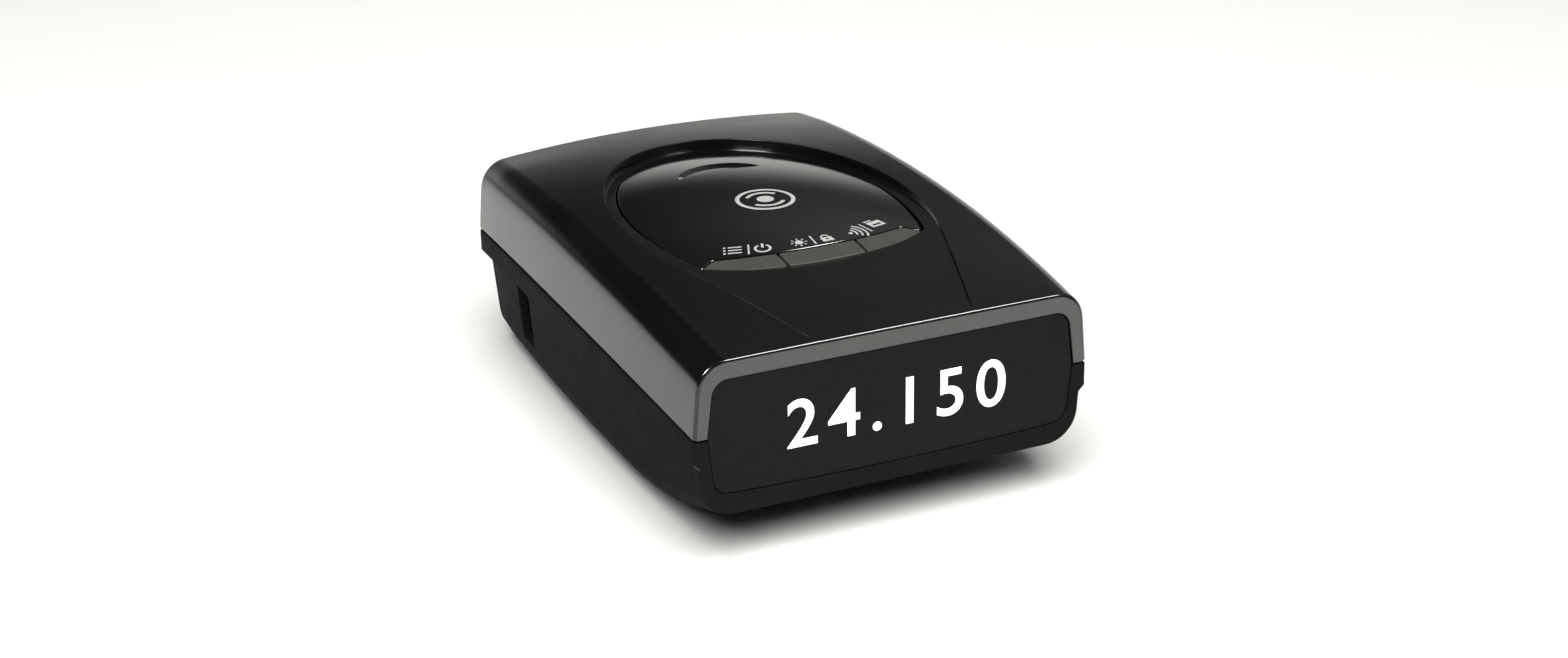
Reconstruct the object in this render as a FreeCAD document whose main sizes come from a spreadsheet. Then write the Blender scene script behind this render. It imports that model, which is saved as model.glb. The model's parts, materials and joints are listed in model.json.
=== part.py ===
"""Dashboard radar detector: glossy cover, matt lower case, display window, control cap with three
keys, and the boards, horn, sensors and sockets that the case holds.

The origin is the middle of the footprint, on the surface the feet stand on. +Z is up, the display
looks along -Y, the rear with its antenna looks along +Y, and +X is to the right of the display.
Lengths are millimetres."""

import FreeCAD, Part
import Sketcher
import math
import os

V = FreeCAD.Vector
Rotation = FreeCAD.Rotation

DIMENSIONS = (
    # housing, seen from above
    ("overall_length", 108.4),
    ("front_half_width", 36.0),
    ("rear_flare", 0.6),
    ("side_bulge", 1.55),
    ("rear_radius", 274.0),
    ("front_bevel", 0.6),
    ("rear_corner_radius", 1.0),
    # housing, seen from the side
    ("parting_crest", 24.33),
    ("parting_radius", 660.0),
    ("parting_gap", 0.24),
    ("cover_front_height", 35.47),
    ("cover_arch", 3.1),
    ("cover_crown", 1.0),
    ("cover_draft", 5.0),
    ("cover_edge_radius", 5.3),
    ("base_height", 0.6),
    ("belly_length", 36.0),
    ("belly_radius", 87.4),
    ("case_draft", 4.3),
    ("case_edge_radius", 5.5),
    ("flange_height", 5.1),
    ("flange_step", 0.9),
    ("collar_step", 0.45),
    ("collar_depth", 2.6),
    ("wall", 1.8),
    # display window
    ("window_half_width", 33.45),
    ("window_top", 31.95),
    ("window_bottom", 11.75),
    ("window_bow", 0.6),
    ("window_corner", 2.8),
    ("window_recess", 0.35),
    ("window_gap", 0.12),
    # recess in the cover and the control cap that stands in it
    ("recess_half_width", 26.8),
    ("recess_rear_length", 43.2),
    ("recess_centre", 50.0),
    ("recess_taper_angle", 27.3),
    ("recess_front_half_width", 14.2),
    ("recess_floor_mid", 38.06),
    ("recess_floor_rear", 36.1),
    ("cap_half_width", 23.8),
    ("cap_rear_length", 38.0),
    ("cap_front_length", 44.6),
    ("cap_centre", 52.0),
    ("cap_crest", 39.7),
    ("cap_gap", 0.25),
    ("cap_thickness", 1.6),
    # keys along the front of the cap
    ("key_tip_x", 21.0),
    ("key_tip", 31.0),
    ("key_front", 24.9),
    ("key_rear", 29.8),
    ("key_shoulder_x", 17.6),
    ("key_shoulder", 33.4),
    ("key_split", 7.35),
    ("key_gap", 0.35),
    ("key_travel", 0.6),
    # fasteners, boards and sockets
    ("screw_x", 29.0),
    ("screw_front", 14.0),
    ("screw_rear", 96.5),
    ("boss_radius", 3.2),
    ("screw_radius", 1.2),
    ("screw_head_radius", 2.2),
    ("board_half_width", 25.0),
    ("board_bottom", 9.5),
    ("board_thickness", 1.6),
    ("power_port", 82.8),
    ("power_port_height", 12.1),
    ("audio_port", 82.0),
    ("audio_bore_radius", 1.8),
    ("data_port", 66.0),
    ("audio_port_height", 14.6),
    ("data_port_height", 13.1),
    ("laser_x", 18.5),
    ("laser_height", 11.4),
    ("laser_radius", 4.3),
    ("bracket_slot_width", 30.0),
    ("bracket_slot_thickness", 2.2),
    ("bracket_slot_height", 31.4),
    ("horn_x", -7.0),
    ("horn_height", 21.4),
    ("foot_radius", 4.0),
    ("foot_x", 24.0),
    ("foot_front", 44.0),
    ("foot_rear", 88.0),
    ("fit_gap", 0.02),
    ("board_post_x", 21.0),
    ("board_post_front", 20.0),
    ("board_post_rear", 75.0),
    ("board_post_radius", 2.5),
    ("board_screw_radius", 0.8),
    ("board_screw_head_radius", 1.9),
    ("cap_post_x", 14.0),
    ("cap_post_y", 39.5),
    ("cap_post_radius", 1.6),
    ("key_board_bottom", 29.4),
    ("key_board_thickness", 1.2),
    ("key_bottom", 35.4),
    ("speaker_x", 10.0),
    ("speaker_y", 52.0),
    ("speaker_radius", 9.5),
    ("grille_radius", 4.5),
    ("label_width", 36.0),
    ("label_depth", 16.0),
    ("label_y", 66.0),
    ("label_thickness", 0.22),
)

doc = FreeCAD.newDocument("RadarDetector")
sheet = doc.addObject("Spreadsheet::Sheet", "Dimensions")


class Size:
    """A length with its value and the spreadsheet expression that gives it."""

    def __init__(self, value, text):
        self.value = float(value)
        self.text = text

    def __add__(self, other):
        other = size(other)
        return Size(self.value + other.value, f"({self.text} + {other.text})")

    def __sub__(self, other):
        other = size(other)
        return Size(self.value - other.value, f"({self.text} - {other.text})")

    def __mul__(self, other):
        other = size(other)
        return Size(self.value * other.value, f"({self.text} * {other.text})")

    def __truediv__(self, other):
        other = size(other)
        return Size(self.value / other.value, f"({self.text} / {other.text})")

    def __neg__(self):
        return size(0) - self

    def __radd__(self, other):
        return size(other) + self

    def __rsub__(self, other):
        return size(other) - self

    def __rmul__(self, other):
        return size(other) * self


def size(number):
    return number if isinstance(number, Size) else Size(number, f"({number:.6g})")


def cosine(angle):
    return Size(math.cos(math.radians(angle.value)), f"cos({angle.text} * 1 deg)")


def sine(angle):
    return Size(math.sin(math.radians(angle.value)), f"sin({angle.text} * 1 deg)")


def tangent(angle):
    return Size(math.tan(math.radians(angle.value)), f"tan({angle.text} * 1 deg)")


class Dimensions:
    """The driving dimensions, by the names they have in the spreadsheet."""

    def __init__(self, rows):
        for row, (name, value) in enumerate(rows, start=1):
            sheet.set(f"A{row}", name)
            sheet.set(f"B{row}", f"{value:g}")
            sheet.setAlias(f"B{row}", name)
            setattr(self, name, Size(value, f"Dimensions.{name}"))


d = Dimensions(DIMENSIONS)
doc.recompute()

FRONT = -d.overall_length / 2
REAR = d.overall_length / 2
MARGIN = 20.0
SIDE_LENGTH = 106.0
SIDES = (-1, 1)


def from_front(distance):
    return FRONT + distance


def bind(obj, name, value):
    obj.setExpression(name, size(value).text)


def bind_place(obj, x, y, z):
    for axis, value in zip("xyz", (x, y, z)):
        bind(obj, f"Placement.Base.{axis}", value)


# ---------------------------------------------------------------- sketches and bodies


def origin_plane(body, role):
    return next(f for f in body.Origin.OriginFeatures if f.Role == role)


def make_body(name):
    return doc.addObject("PartDesign::Body", name)


def profile(body, name, plane, points, bulges=None, height=0.0):
    """A closed profile through the points. bulges gives, for a side, how far its arc stands out to
    the right of the way the side runs. height moves the sketch along its plane's normal."""
    bulges = bulges or {}
    sketch = body.newObject("Sketcher::SketchObject", name)
    sketch.AttachmentSupport = (origin_plane(body, plane), [""])
    sketch.MapMode = "FlatFace"
    bind(sketch, "AttachmentOffset.Base.z", height)
    points = [(size(x), size(y)) for x, y in points]
    vertices = [V(x.value, y.value, 0) for x, y in points]
    ends = []
    for i, start in enumerate(vertices):
        end = vertices[(i + 1) % len(vertices)]
        if i not in bulges:
            sketch.addGeometry(Part.LineSegment(start, end), False)
            ends.append((1, 2))
            continue
        run = end - start
        side = V(run.y, -run.x, 0).normalize()
        middle = (start + end) * 0.5 + side * size(bulges[i]).value
        forward = size(bulges[i]).value > 0
        arc = Part.Arc(start, middle, end) if forward else Part.Arc(end, middle, start)
        sketch.addGeometry(arc, False)
        ends.append((1, 2) if forward else (2, 1))
    for i in range(len(points)):
        following = (i + 1) % len(points)
        join = ("Coincident", i, ends[i][1], following, ends[following][0])
        sketch.addConstraint(Sketcher.Constraint(*join))
    for i, (x, y) in enumerate(points):
        for kind, coordinate in (("DistanceX", x), ("DistanceY", y)):
            rule = Sketcher.Constraint(kind, -1, 1, i, ends[i][0], coordinate.value)
            sketch.setExpression(f"Constraints[{sketch.addConstraint(rule)}]", coordinate.text)
    for i, bulge in bulges.items():
        (x0, y0), (x1, y1) = points[i], points[(i + 1) % len(points)]
        rise = size(bulge) if size(bulge).value > 0 else -size(bulge)
        chord_squared = (x1 - x0) * (x1 - x0) + (y1 - y0) * (y1 - y0)
        radius = chord_squared / (8 * rise) + rise / 2
        rule = Sketcher.Constraint("Radius", i, radius.value)
        sketch.setExpression(f"Constraints[{sketch.addConstraint(rule)}]", radius.text)
    return sketch


def pad(body, name, sketch, length, reverse=False, taper=None):
    feature = body.newObject("PartDesign::Pad", name)
    feature.Profile = sketch
    feature.Reversed = reverse
    bind(feature, "Length", length)
    if taper is not None:
        bind(feature, "TaperAngle", taper)
    return feature


def pocket_through(body, name, sketch):
    """Cuts the sketch's profile away on both sides of its plane."""
    feature = body.newObject("PartDesign::Pocket", name)
    feature.Profile = sketch
    feature.SideType = "Symmetric"
    feature.Length = 400
    return feature


def dress(body, kind, name, value, wanted):
    """A fillet or a chamfer on the edges of the body's tip that wanted(edge) picks."""
    doc.recompute()
    tip = body.Tip
    edges = [f"Edge{i}" for i, edge in enumerate(tip.Shape.Edges, start=1) if wanted(edge)]
    feature = body.newObject(f"PartDesign::{kind}", name)
    feature.Base = (tip, edges)
    bind(feature, "Radius" if kind == "Fillet" else "Size", value)
    return feature


# ---------------------------------------------------------------- primitives and booleans


def block(name, x, y, z, width, depth, height):
    """A box centred on x, from y backwards and from z upwards."""
    obj = doc.addObject("Part::Box", name)
    bind(obj, "Length", width)
    bind(obj, "Width", depth)
    bind(obj, "Height", height)
    bind_place(obj, size(x) - size(width) / 2, y, z)
    return obj


def cylinder(name, x, y, z, radius, height, along="z"):
    """A cylinder from x, y, z along an axis."""
    obj = doc.addObject("Part::Cylinder", name)
    turns = {"x": Rotation(V(0, 1, 0), 90), "y": Rotation(V(1, 0, 0), -90), "z": Rotation()}
    obj.Placement = FreeCAD.Placement(V(), turns[along])
    bind(obj, "Radius", radius)
    bind(obj, "Height", height)
    bind_place(obj, x, y, z)
    return obj


def join(name, shapes):
    obj = doc.addObject("Part::MultiFuse", name)
    obj.Shapes = shapes
    return obj


def group(name, shapes):
    """Separate solids of one kind, kept as one sub-part."""
    obj = doc.addObject("Part::Compound", name)
    obj.Links = shapes
    return obj


def cut(name, base, tools):
    obj = doc.addObject("Part::Cut", name)
    obj.Base = base
    obj.Tool = tools[0] if len(tools) == 1 else join(f"{name}_tools", tools)
    return obj


def overlap(name, shapes):
    obj = doc.addObject("Part::MultiCommon", name)
    obj.Shapes = shapes
    return obj


# ---------------------------------------------------------------- the housing's own curves


def sag(distance, radius):
    """How far a shallow arc falls from its crest at this distance."""
    return size(distance) * distance / (2 * size(radius))


def hump(t):
    """0 at the front and at the rear corners, 1 half way."""
    return 4 * t * (1 - t)


def half_width(t):
    return d.front_half_width + d.rear_flare * t + d.side_bulge * hump(t)


def parting_profile(body, name, crest, above):
    """Everything above or below the arched parting line, as a side view."""
    reach = REAR + MARGIN
    end = crest - sag(reach, d.parting_radius)
    far = end + 100 if above else end - 100
    points = [(-reach, end), (reach, end), (reach, far), (-reach, far)]
    return profile(body, name, "YZ_Plane", points, {0: -sag(reach, d.parting_radius)})


def rear_profile(body, name, inset):
    """Everything behind the bowed rear face, as a plan."""
    reach = d.front_half_width + MARGIN
    end = REAR - inset - sag(reach, d.rear_radius)
    points = [(-reach, end), (reach, end), (reach, end + 100), (-reach, end + 100)]
    return profile(body, name, "XY_Plane", points, {0: -sag(reach, d.rear_radius)})


def upright(edge, x_limit=0.0):
    run = edge.lastVertex().Point - edge.firstVertex().Point
    return abs(run.z) > 3 * math.hypot(run.x, run.y) and abs(edge.CenterOfMass.x) > x_limit


# ---------------------------------------------------------------- top cover


COVER_STATIONS = ((0.0, 0.05), (0.25, 0.85), (0.5, 1.0), (0.78, 1.0), (1.06, 1.0))
COVER_SKIRT_BOTTOM = 20.0


def cover_section(body, name, t, crown_share, inset):
    """The cover's rounded cross-section at a station, moved inwards by inset."""
    edge_radius = d.cover_edge_radius - inset
    crown = d.cover_crown * crown_share
    half = half_width(t) - inset
    top = d.cover_front_height + d.cover_arch * hump(t) - inset
    shoulder_z = top - edge_radius * (1 - sine(d.cover_draft))
    shoulder_x = half - (shoulder_z - (d.parting_crest - 2)) * tangent(d.cover_draft)
    top_x = shoulder_x - edge_radius * (cosine(d.cover_draft) - 2 * crown / half)
    foot_x = half + (d.parting_crest - 2 - COVER_SKIRT_BOTTOM) * tangent(d.cover_draft)
    corner_bulge = edge_radius * (1 - math.cos(math.radians(41)))
    right = [(foot_x, COVER_SKIRT_BOTTOM), (shoulder_x, shoulder_z), (top_x, top)]
    left = [(-x, z) for x, z in reversed(right)]
    bulges = {1: corner_bulge, 2: crown, 3: corner_bulge}
    return profile(body, name, "XZ_Plane", right + left, bulges, height=-from_front(SIDE_LENGTH * t))


def cover_blank(name, inset):
    body = make_body(name)
    first = (inset / SIDE_LENGTH, COVER_STATIONS[0][1])
    stations = (first,) + COVER_STATIONS[1:]
    sections = []
    for i, (t, share) in enumerate(stations):
        sections.append(cover_section(body, f"{name}_section_{i}", t, share, inset))
    loft = body.newObject("PartDesign::AdditiveLoft", f"{name}_loft")
    loft.Profile = sections[0]
    loft.Sections = sections[1:]
    pocket_through(body, f"{name}_rear_trim", rear_profile(body, f"{name}_rear", inset))
    return body


def cover_outer():
    body = cover_blank("cover_outer", 0.0)
    crest = d.parting_crest + d.parting_gap / 2
    pocket_through(body, "cover_parting_trim", parting_profile(body, "cover_parting", crest, False))
    rear_x = d.front_half_width.value - 6
    dress(body, "Fillet", "cover_rear_corners", d.rear_corner_radius,
          lambda e: upright(e, rear_x) and e.CenterOfMass.y > 0)
    return body


# ---------------------------------------------------------------- recess, cap and key outlines


def ellipse_arc(half, length, centre_y, start, end):
    """An arc of an upright ellipse; its angle is 0 at the rear and grows towards +X."""
    centre = V(0, centre_y, 0)
    shape = Part.Ellipse(centre + V(0, length, 0), centre + V(half, 0, 0), centre)
    return Part.Arc(shape, math.radians(start), math.radians(end)).toShape()


def three_point_arc(start, middle, end):
    return Part.Arc(V(*start, 0), V(*middle, 0), V(*end, 0)).toShape()


def segment(start, end):
    return Part.LineSegment(V(*start, 0), V(*end, 0)).toShape()


def prism(name, edges, bottom, top):
    """An upright solid on a closed outline of mixed ellipse arcs, arcs and lines."""
    wire = Part.Wire(Part.__sortEdges__(edges))
    obj = doc.addObject("Part::Feature", name)
    obj.Shape = Part.Face(wire).extrude(V(0, 0, top - bottom))
    obj.Placement = FreeCAD.Placement(V(0, 0, bottom), Rotation())
    return obj


def recess_edges(offset):
    """A half ellipse round the rear of the cap that narrows in straight lines to the front edge."""
    half = d.recess_half_width.value + offset
    length = d.recess_rear_length.value + offset
    centre = from_front(d.recess_centre).value
    turn = d.recess_taper_angle.value
    front = (d.recess_front_half_width.value + offset, FRONT.value - 5)
    shoulder_x = half * math.cos(math.radians(turn))
    shoulder_y = centre - length * math.sin(math.radians(turn))
    rear = ellipse_arc(half, length, centre, -90 - turn, 90 + turn)
    return [
        rear,
        segment((shoulder_x, shoulder_y), front),
        segment(front, (-front[0], front[1])),
        segment((-front[0], front[1]), (-shoulder_x, shoulder_y)),
    ]


def cap_edges(offset):
    """The cap's plan: two half ellipses, cut at the front by the arc that the keys follow."""
    half = d.cap_half_width.value + offset
    rear = d.cap_rear_length.value + offset
    side = d.cap_front_length.value + offset
    centre = from_front(d.cap_centre).value
    drop = centre - from_front(d.key_tip).value + offset * 0.6
    turn = math.degrees(math.asin(drop / side))
    tip = (half * math.cos(math.radians(turn)), centre - drop)
    front = (0, from_front(d.key_front).value - offset)
    return [
        ellipse_arc(half, rear, centre, -90, 90),
        ellipse_arc(half, side, centre, 90, 90 + turn),
        three_point_arc(tip, front, (-tip[0], tip[1])),
        ellipse_arc(half, side, centre, -90 - turn, -90),
    ]


def key_edges(offset):
    """The plan of the three keys together; offset widens it towards the rear."""
    tip = (d.key_tip_x.value, from_front(d.key_tip).value)
    front = (0, from_front(d.key_front).value)
    shoulder = (d.key_shoulder_x.value + offset / 2, from_front(d.key_shoulder).value + offset)
    rear = (0, from_front(d.key_rear).value + offset)
    end = ((tip[0] + shoulder[0]) / 2 + 0.35, (tip[1] + shoulder[1]) / 2 + 0.35)

    def mirrored(point):
        return (-point[0], point[1])

    return [
        three_point_arc(mirrored(tip), front, tip),
        three_point_arc(tip, end, shoulder),
        three_point_arc(shoulder, rear, mirrored(shoulder)),
        three_point_arc(mirrored(shoulder), mirrored(end), mirrored(tip)),
    ]


def above_recess_floor(name, drop):
    """The space over the recess floor, which rises from the front edge and falls to the rear."""
    body = make_body(name)
    high = d.cap_crest + MARGIN
    low_front = d.cover_front_height - 0.45 - drop
    points = [
        (FRONT - 5, low_front),
        (from_front(26), d.recess_floor_mid - drop),
        (from_front(98), d.recess_floor_rear - 0.1 - drop),
        (from_front(98), high),
        (FRONT - 5, high),
    ]
    sketch = profile(body, f"{name}_side", "YZ_Plane", points, {0: -0.35, 1: -0.5})
    slab = pad(body, f"{name}_slab", sketch, 80)
    slab.SideType = "Symmetric"
    return body


def dome(name, inset):
    """The ellipsoid that gives the cap and the keys their crowned top."""
    obj = doc.addObject("Part::Ellipsoid", name)
    bind(obj, "Radius1", 60 - inset)
    bind(obj, "Radius2", 94.6 - inset)
    bind(obj, "Radius3", 119.5 - inset)
    bind_place(obj, 0, from_front(50), d.cap_crest - 60)
    return obj


# ---------------------------------------------------------------- display window


def window_outline(body, name, offset):
    """A rounded panel whose sides lean in above and below the parting line."""
    mid_z = d.parting_crest - sag(-FRONT, d.parting_radius)
    lean_up = 0.089
    lean_down = 0.076
    top_z = d.window_top + offset
    low_z = d.window_bottom - offset
    half = d.window_half_width + offset
    top_x = half - (top_z - mid_z) * lean_up
    low_x = half - (mid_z - low_z) * lean_down
    corner = d.window_corner + offset
    bulge = corner * 0.293
    right = [
        (low_x - corner, low_z),
        (low_x, low_z + corner),
        (half, mid_z),
        (top_x, top_z - corner),
        (top_x - corner, top_z),
    ]
    left = [(-x, z) for x, z in reversed(right)]
    bulges = {0: bulge, 3: bulge, 5: bulge, 8: bulge, 9: d.window_bow}
    return profile(body, name, "XZ_Plane", right + left, bulges, height=-FRONT + 5)


WINDOW_LIP = 0.4


def window_plug(name, offset, start, end):
    """The window's outline as a solid, from one depth behind the front face to another."""
    body = make_body(name)
    sketch = window_outline(body, f"{name}_outline", offset)
    sketch.setExpression("AttachmentOffset.Base.z", (-from_front(start)).text)
    pad(body, f"{name}_pad", sketch, size(end) - start, reverse=True)
    return body


# ---------------------------------------------------------------- cover


def cover_front_edge(edge):
    box = edge.BoundBox
    at_front = abs(box.YMax - FRONT.value) < 0.01 and abs(box.YMin - FRONT.value) < 0.01
    return at_front and box.ZMax > d.parting_crest.value


def screw_places():
    for side in SIDES:
        for distance in (d.screw_front, d.screw_rear):
            yield d.screw_x * side, from_front(distance)


BOSS_SPLIT = 23.0


def top_cover():
    outer = cover_outer()
    dress(outer, "Chamfer", "cover_front_bevel", d.front_bevel, cover_front_edge)
    hollow = cover_blank("cover_cavity", d.wall.value)
    recess_wall = overlap("recess_wall", [
        prism("recess_wall_prism", recess_edges(d.wall.value), 25, 60),
        above_recess_floor("recess_underside", d.wall + 0.3),
    ])
    cavity = cut("cover_hollow", hollow, [recess_wall])
    recess = overlap("recess", [
        prism("recess_prism", recess_edges(0), 30, 60),
        above_recess_floor("recess_floor", 0),
    ])
    shell = cut("cover_shell", outer, [cavity])
    bosses = []
    for i, (x, y) in enumerate(screw_places()):
        bosses.append(cylinder(f"cover_boss_{i}", x, y, BOSS_SPLIT + 0.1, d.boss_radius, 30))
    inside = overlap("cover_bosses", [join("cover_boss_posts", bosses), cover_core()])
    bossed = join("cover_with_bosses", [shell, inside])
    tools = [
        recess,
        prism("cap_hole", cap_edges(d.cap_gap.value), 28, 60),
        window_plug("cover_window_hole", d.window_gap, -2, d.wall + 1),
        window_plug("cover_window_seat", WINDOW_LIP + d.window_gap, d.wall + 0.15, 8),
        block("bracket_slot", 0, REAR - 12, d.bracket_slot_height - d.bracket_slot_thickness / 2,
              d.bracket_slot_width, 20, d.bracket_slot_thickness),
    ]
    for i, (x, y) in enumerate(screw_places()):
        tools.append(cylinder(f"cover_pilot_{i}", x, y, BOSS_SPLIT - 2, d.screw_radius + 0.05, 9))
    return cut("top_cover", bossed, tools)


def cover_core():
    """The cover's solid block again, so that the bosses end inside its skin."""
    return cover_blank("cover_core", 0.9)


# ---------------------------------------------------------------- lower case


def case_outline(body, name, inset, top):
    front = FRONT + inset
    rear_x = half_width(1.0) - inset
    rear_y = REAR - inset - sag(rear_x, d.rear_radius)
    front_x = d.front_half_width - inset
    points = [(-front_x, front), (front_x, front), (rear_x, rear_y), (-rear_x, rear_y)]
    bulges = {1: d.side_bulge, 2: sag(rear_x, d.rear_radius), 3: d.side_bulge}
    return profile(body, name, "XY_Plane", points, bulges, height=top)


def belly_profile(body, name, rise):
    """Everything under the case's base, which curves up towards the front."""
    base = d.base_height + rise
    start = from_front(d.belly_length)
    front = FRONT - 4
    reach = start - front
    lift = reach * reach / (2 * d.belly_radius)
    points = [
        (front, -MARGIN),
        (REAR + MARGIN, -MARGIN),
        (REAR + MARGIN, base),
        (start, base),
        (front, base + lift),
    ]
    return profile(body, name, "YZ_Plane", points, {3: -lift / 4})


def case_bottom_edge(edge):
    box = edge.BoundBox
    lengthwise = box.YMax - box.YMin > 20
    return lengthwise and edge.CenterOfMass.z < 12 and abs(edge.CenterOfMass.x) > 20


def flange_bottom_edge(edge):
    box = edge.BoundBox
    low = d.parting_crest.value - d.flange_height.value - 4
    return box.ZMin > low and box.ZMax < low + 5 and not upright(edge) and edge.Length > 3


def collar_profile(body, name):
    """The front rim's outline: sides, rounded lower corners and bottom edge."""
    top = d.parting_crest
    low = d.base_height + sag(d.belly_length, d.belly_radius)
    corner = d.case_edge_radius + 0.4
    half = d.front_half_width - d.collar_step
    low_half = half - (top - low) * tangent(d.case_draft)
    right = [(low_half - corner, low), (low_half, low + corner), (half, top)]
    left = [(-x, z) for x, z in reversed(right)]
    bulge = corner * 0.293
    return profile(body, name, "XZ_Plane", right + left, {0: bulge, 4: bulge}, height=-FRONT)


def case_outer():
    body = make_body("case_outer")
    top = d.parting_crest + 1
    taper = -d.case_draft
    flange = case_outline(body, "flange_outline", 0.0, top)
    pad(body, "flange", flange, 12, reverse=True)
    under = d.parting_crest - d.flange_height
    pocket_through(body, "flange_underside", parting_profile(body, "flange_under", under, False))
    dress(body, "Chamfer", "flange_bevel", d.flange_step - 0.05, flange_bottom_edge)
    core = case_outline(body, "core_outline", d.flange_step, top)
    pad(body, "core", core, top - d.base_height + 3, reverse=True, taper=taper)
    pocket_through(body, "belly", belly_profile(body, "belly_side", 0.0))
    dress(body, "Fillet", "lower_edges", d.case_edge_radius, case_bottom_edge)
    collar = collar_profile(body, "collar_outline")
    pad(body, "collar", collar, d.collar_depth, reverse=True)
    crest = d.parting_crest - d.parting_gap / 2
    pocket_through(body, "case_parting_trim", parting_profile(body, "case_parting", crest, True))
    return body


def case_hollow():
    body = make_body("case_cavity")
    outline = case_outline(body, "cavity_outline", d.flange_step + d.wall, d.parting_crest + 4)
    depth = d.parting_crest + 4 - d.base_height
    pad(body, "cavity_block", outline, depth, reverse=True, taper=-d.case_draft)
    pocket_through(body, "cavity_belly", belly_profile(body, "cavity_belly_side", d.wall))
    dress(body, "Fillet", "cavity_edges", d.case_edge_radius - d.wall, case_bottom_edge)
    return body


# ---------------------------------------------------------------- lower case, finished


def screw_seat_bottom(y):
    """The height of the base under a screw: higher where the belly curves up."""
    start = from_front(d.belly_length).value
    reach = max(0.0, start - y.value)
    return d.base_height.value + reach * reach / (2 * d.belly_radius.value)


def board_post_places():
    for side in SIDES:
        for distance in (d.board_post_front, d.board_post_rear):
            yield d.board_post_x * side, from_front(distance)


def side_hole(name, distance, height, width, tall, side):
    """A rectangular opening through one side wall."""
    centre_x = side * d.front_half_width
    return block(name, centre_x, from_front(distance) - size(width) / 2, height - size(tall) / 2,
                 12, width, tall)


GRILLE_HOLES = 6
GRILLE_HOLE_RADIUS = 0.8


def grille_holes():
    """One hole in the middle and a ring of holes round it, under the speaker."""
    y = from_front(d.speaker_y)
    holes = [cylinder("grille_hole_0", d.speaker_x, y, -1, GRILLE_HOLE_RADIUS, 5)]
    for i in range(GRILLE_HOLES):
        turn = math.tau * i / GRILLE_HOLES
        x = d.speaker_x + d.grille_radius * math.cos(turn)
        hole_y = y + d.grille_radius * math.sin(turn)
        holes.append(cylinder(f"grille_hole_{i + 1}", x, hole_y, -1, GRILLE_HOLE_RADIUS, 5))
    return holes


def bottom_case():
    outer = case_outer()
    shell = cut("case_shell", outer, [case_hollow()])
    posts = []
    for i, (x, y) in enumerate(screw_places()):
        posts.append(cylinder(f"case_boss_{i}", x, y, 0, d.boss_radius, BOSS_SPLIT - 0.1))
    for i, (x, y) in enumerate(board_post_places()):
        height = d.board_bottom - d.fit_gap
        posts.append(cylinder(f"board_post_{i}", x, y, 0, d.board_post_radius, height))
    inside = overlap("case_posts", [join("case_post_group", posts), outer])
    full = join("case_with_posts", [shell, inside])
    tools = [
        window_plug("case_window_hole", d.window_gap, -2, d.wall + 1),
        window_plug("case_window_seat", WINDOW_LIP + d.window_gap, d.wall + 0.15, 8),
        side_hole("power_opening", d.power_port, d.power_port_height, 6.6, 10.6, -1),
        side_hole("data_opening", d.data_port, d.data_port_height, 8.6, 4.6, 1),
        cylinder("audio_opening", 30, from_front(d.audio_port), d.audio_port_height, 2.6, 12, "x"),
        cylinder("laser_opening", d.laser_x, REAR - 10, d.laser_height, d.laser_radius + 0.1, 12, "y"),
        block("label_recess", 0, from_front(d.label_y), -1, d.label_width, d.label_depth,
              d.base_height + 1 + d.label_thickness + 0.03),
    ]
    tools += grille_holes()
    for i, (x, y) in enumerate(screw_places()):
        base = screw_seat_bottom(y)
        tools.append(cylinder(f"screw_seat_{i}", x, y, -1, d.screw_head_radius + 0.2, base + 2.8))
        tools.append(cylinder(f"screw_way_{i}", x, y, -1, d.screw_radius + 0.2, 30))
    for i, (x, y) in enumerate(board_post_places()):
        tools.append(cylinder(f"board_pilot_{i}", x, y, d.board_bottom - 5, 0.85, 8))
    for i, (x, y) in enumerate(foot_places()):
        tools.append(cylinder(f"foot_seat_{i}", x, y, -1, d.foot_radius + 0.05, d.base_height + 2.0))
    return cut("bottom_case", full, tools)


def foot_places():
    for side in SIDES:
        for distance in (d.foot_front, d.foot_rear):
            yield d.foot_x * side, from_front(distance)


def feet():
    pads = []
    for i, (x, y) in enumerate(foot_places()):
        pads.append(cylinder(f"foot_{i}", x, y, 0, d.foot_radius, d.base_height + 0.98))
    return group("feet", pads)


def case_screws():
    screws = []
    for i, (x, y) in enumerate(screw_places()):
        seat = screw_seat_bottom(y) + 1.8
        head = cylinder(f"screw_head_{i}", x, y, seat - 1.4, d.screw_head_radius, 1.38)
        shank = cylinder(f"screw_shank_{i}", x, y, seat - 1.4, d.screw_radius, 29 - seat)
        recess = cylinder(f"screw_drive_{i}", x, y, seat - 1.5, 1.0, 0.9)
        screws.append(cut(f"screw_{i}", join(f"screw_blank_{i}", [head, shank]), [recess]))
    return group("case_screws", screws)


def rating_plate():
    gap = 0.15
    return block("rating_plate", 0, from_front(d.label_y) + gap, d.base_height + d.fit_gap,
                 d.label_width - 2 * gap, d.label_depth - 2 * gap, d.label_thickness)


# ---------------------------------------------------------------- display


def display_window():
    face = window_plug("window_face", 0, d.window_recess, d.wall + 0.2)
    lip = window_plug("window_lip", WINDOW_LIP, d.wall + 0.2, d.wall + 0.9)
    return join("display_window", [face, lip])


def display_panel():
    """The emissive glass panel in its pressed frame, behind the window."""
    frame = block("panel_frame", 0, from_front(3.0), 13.0, 58, 3.0, 17.4)
    seat = block("panel_seat", 0, from_front(2.9), 14.2, 55, 1.2, 15.0)
    return cut("display_panel", frame, [seat])


def display_glass():
    return block("display_glass", 0, from_front(3.0), 14.3, 54.8, 1.0, 14.8)


def display_board():
    plate = block("display_plate", 0, from_front(6.1), 12.2, 58, 1.2, 19.0)
    chip = block("display_driver", -12, from_front(7.3), 18.0, 12, 1.1, 8.0)
    return join("display_board", [plate, chip])


FLEX_THICKNESS = 0.3


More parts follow.
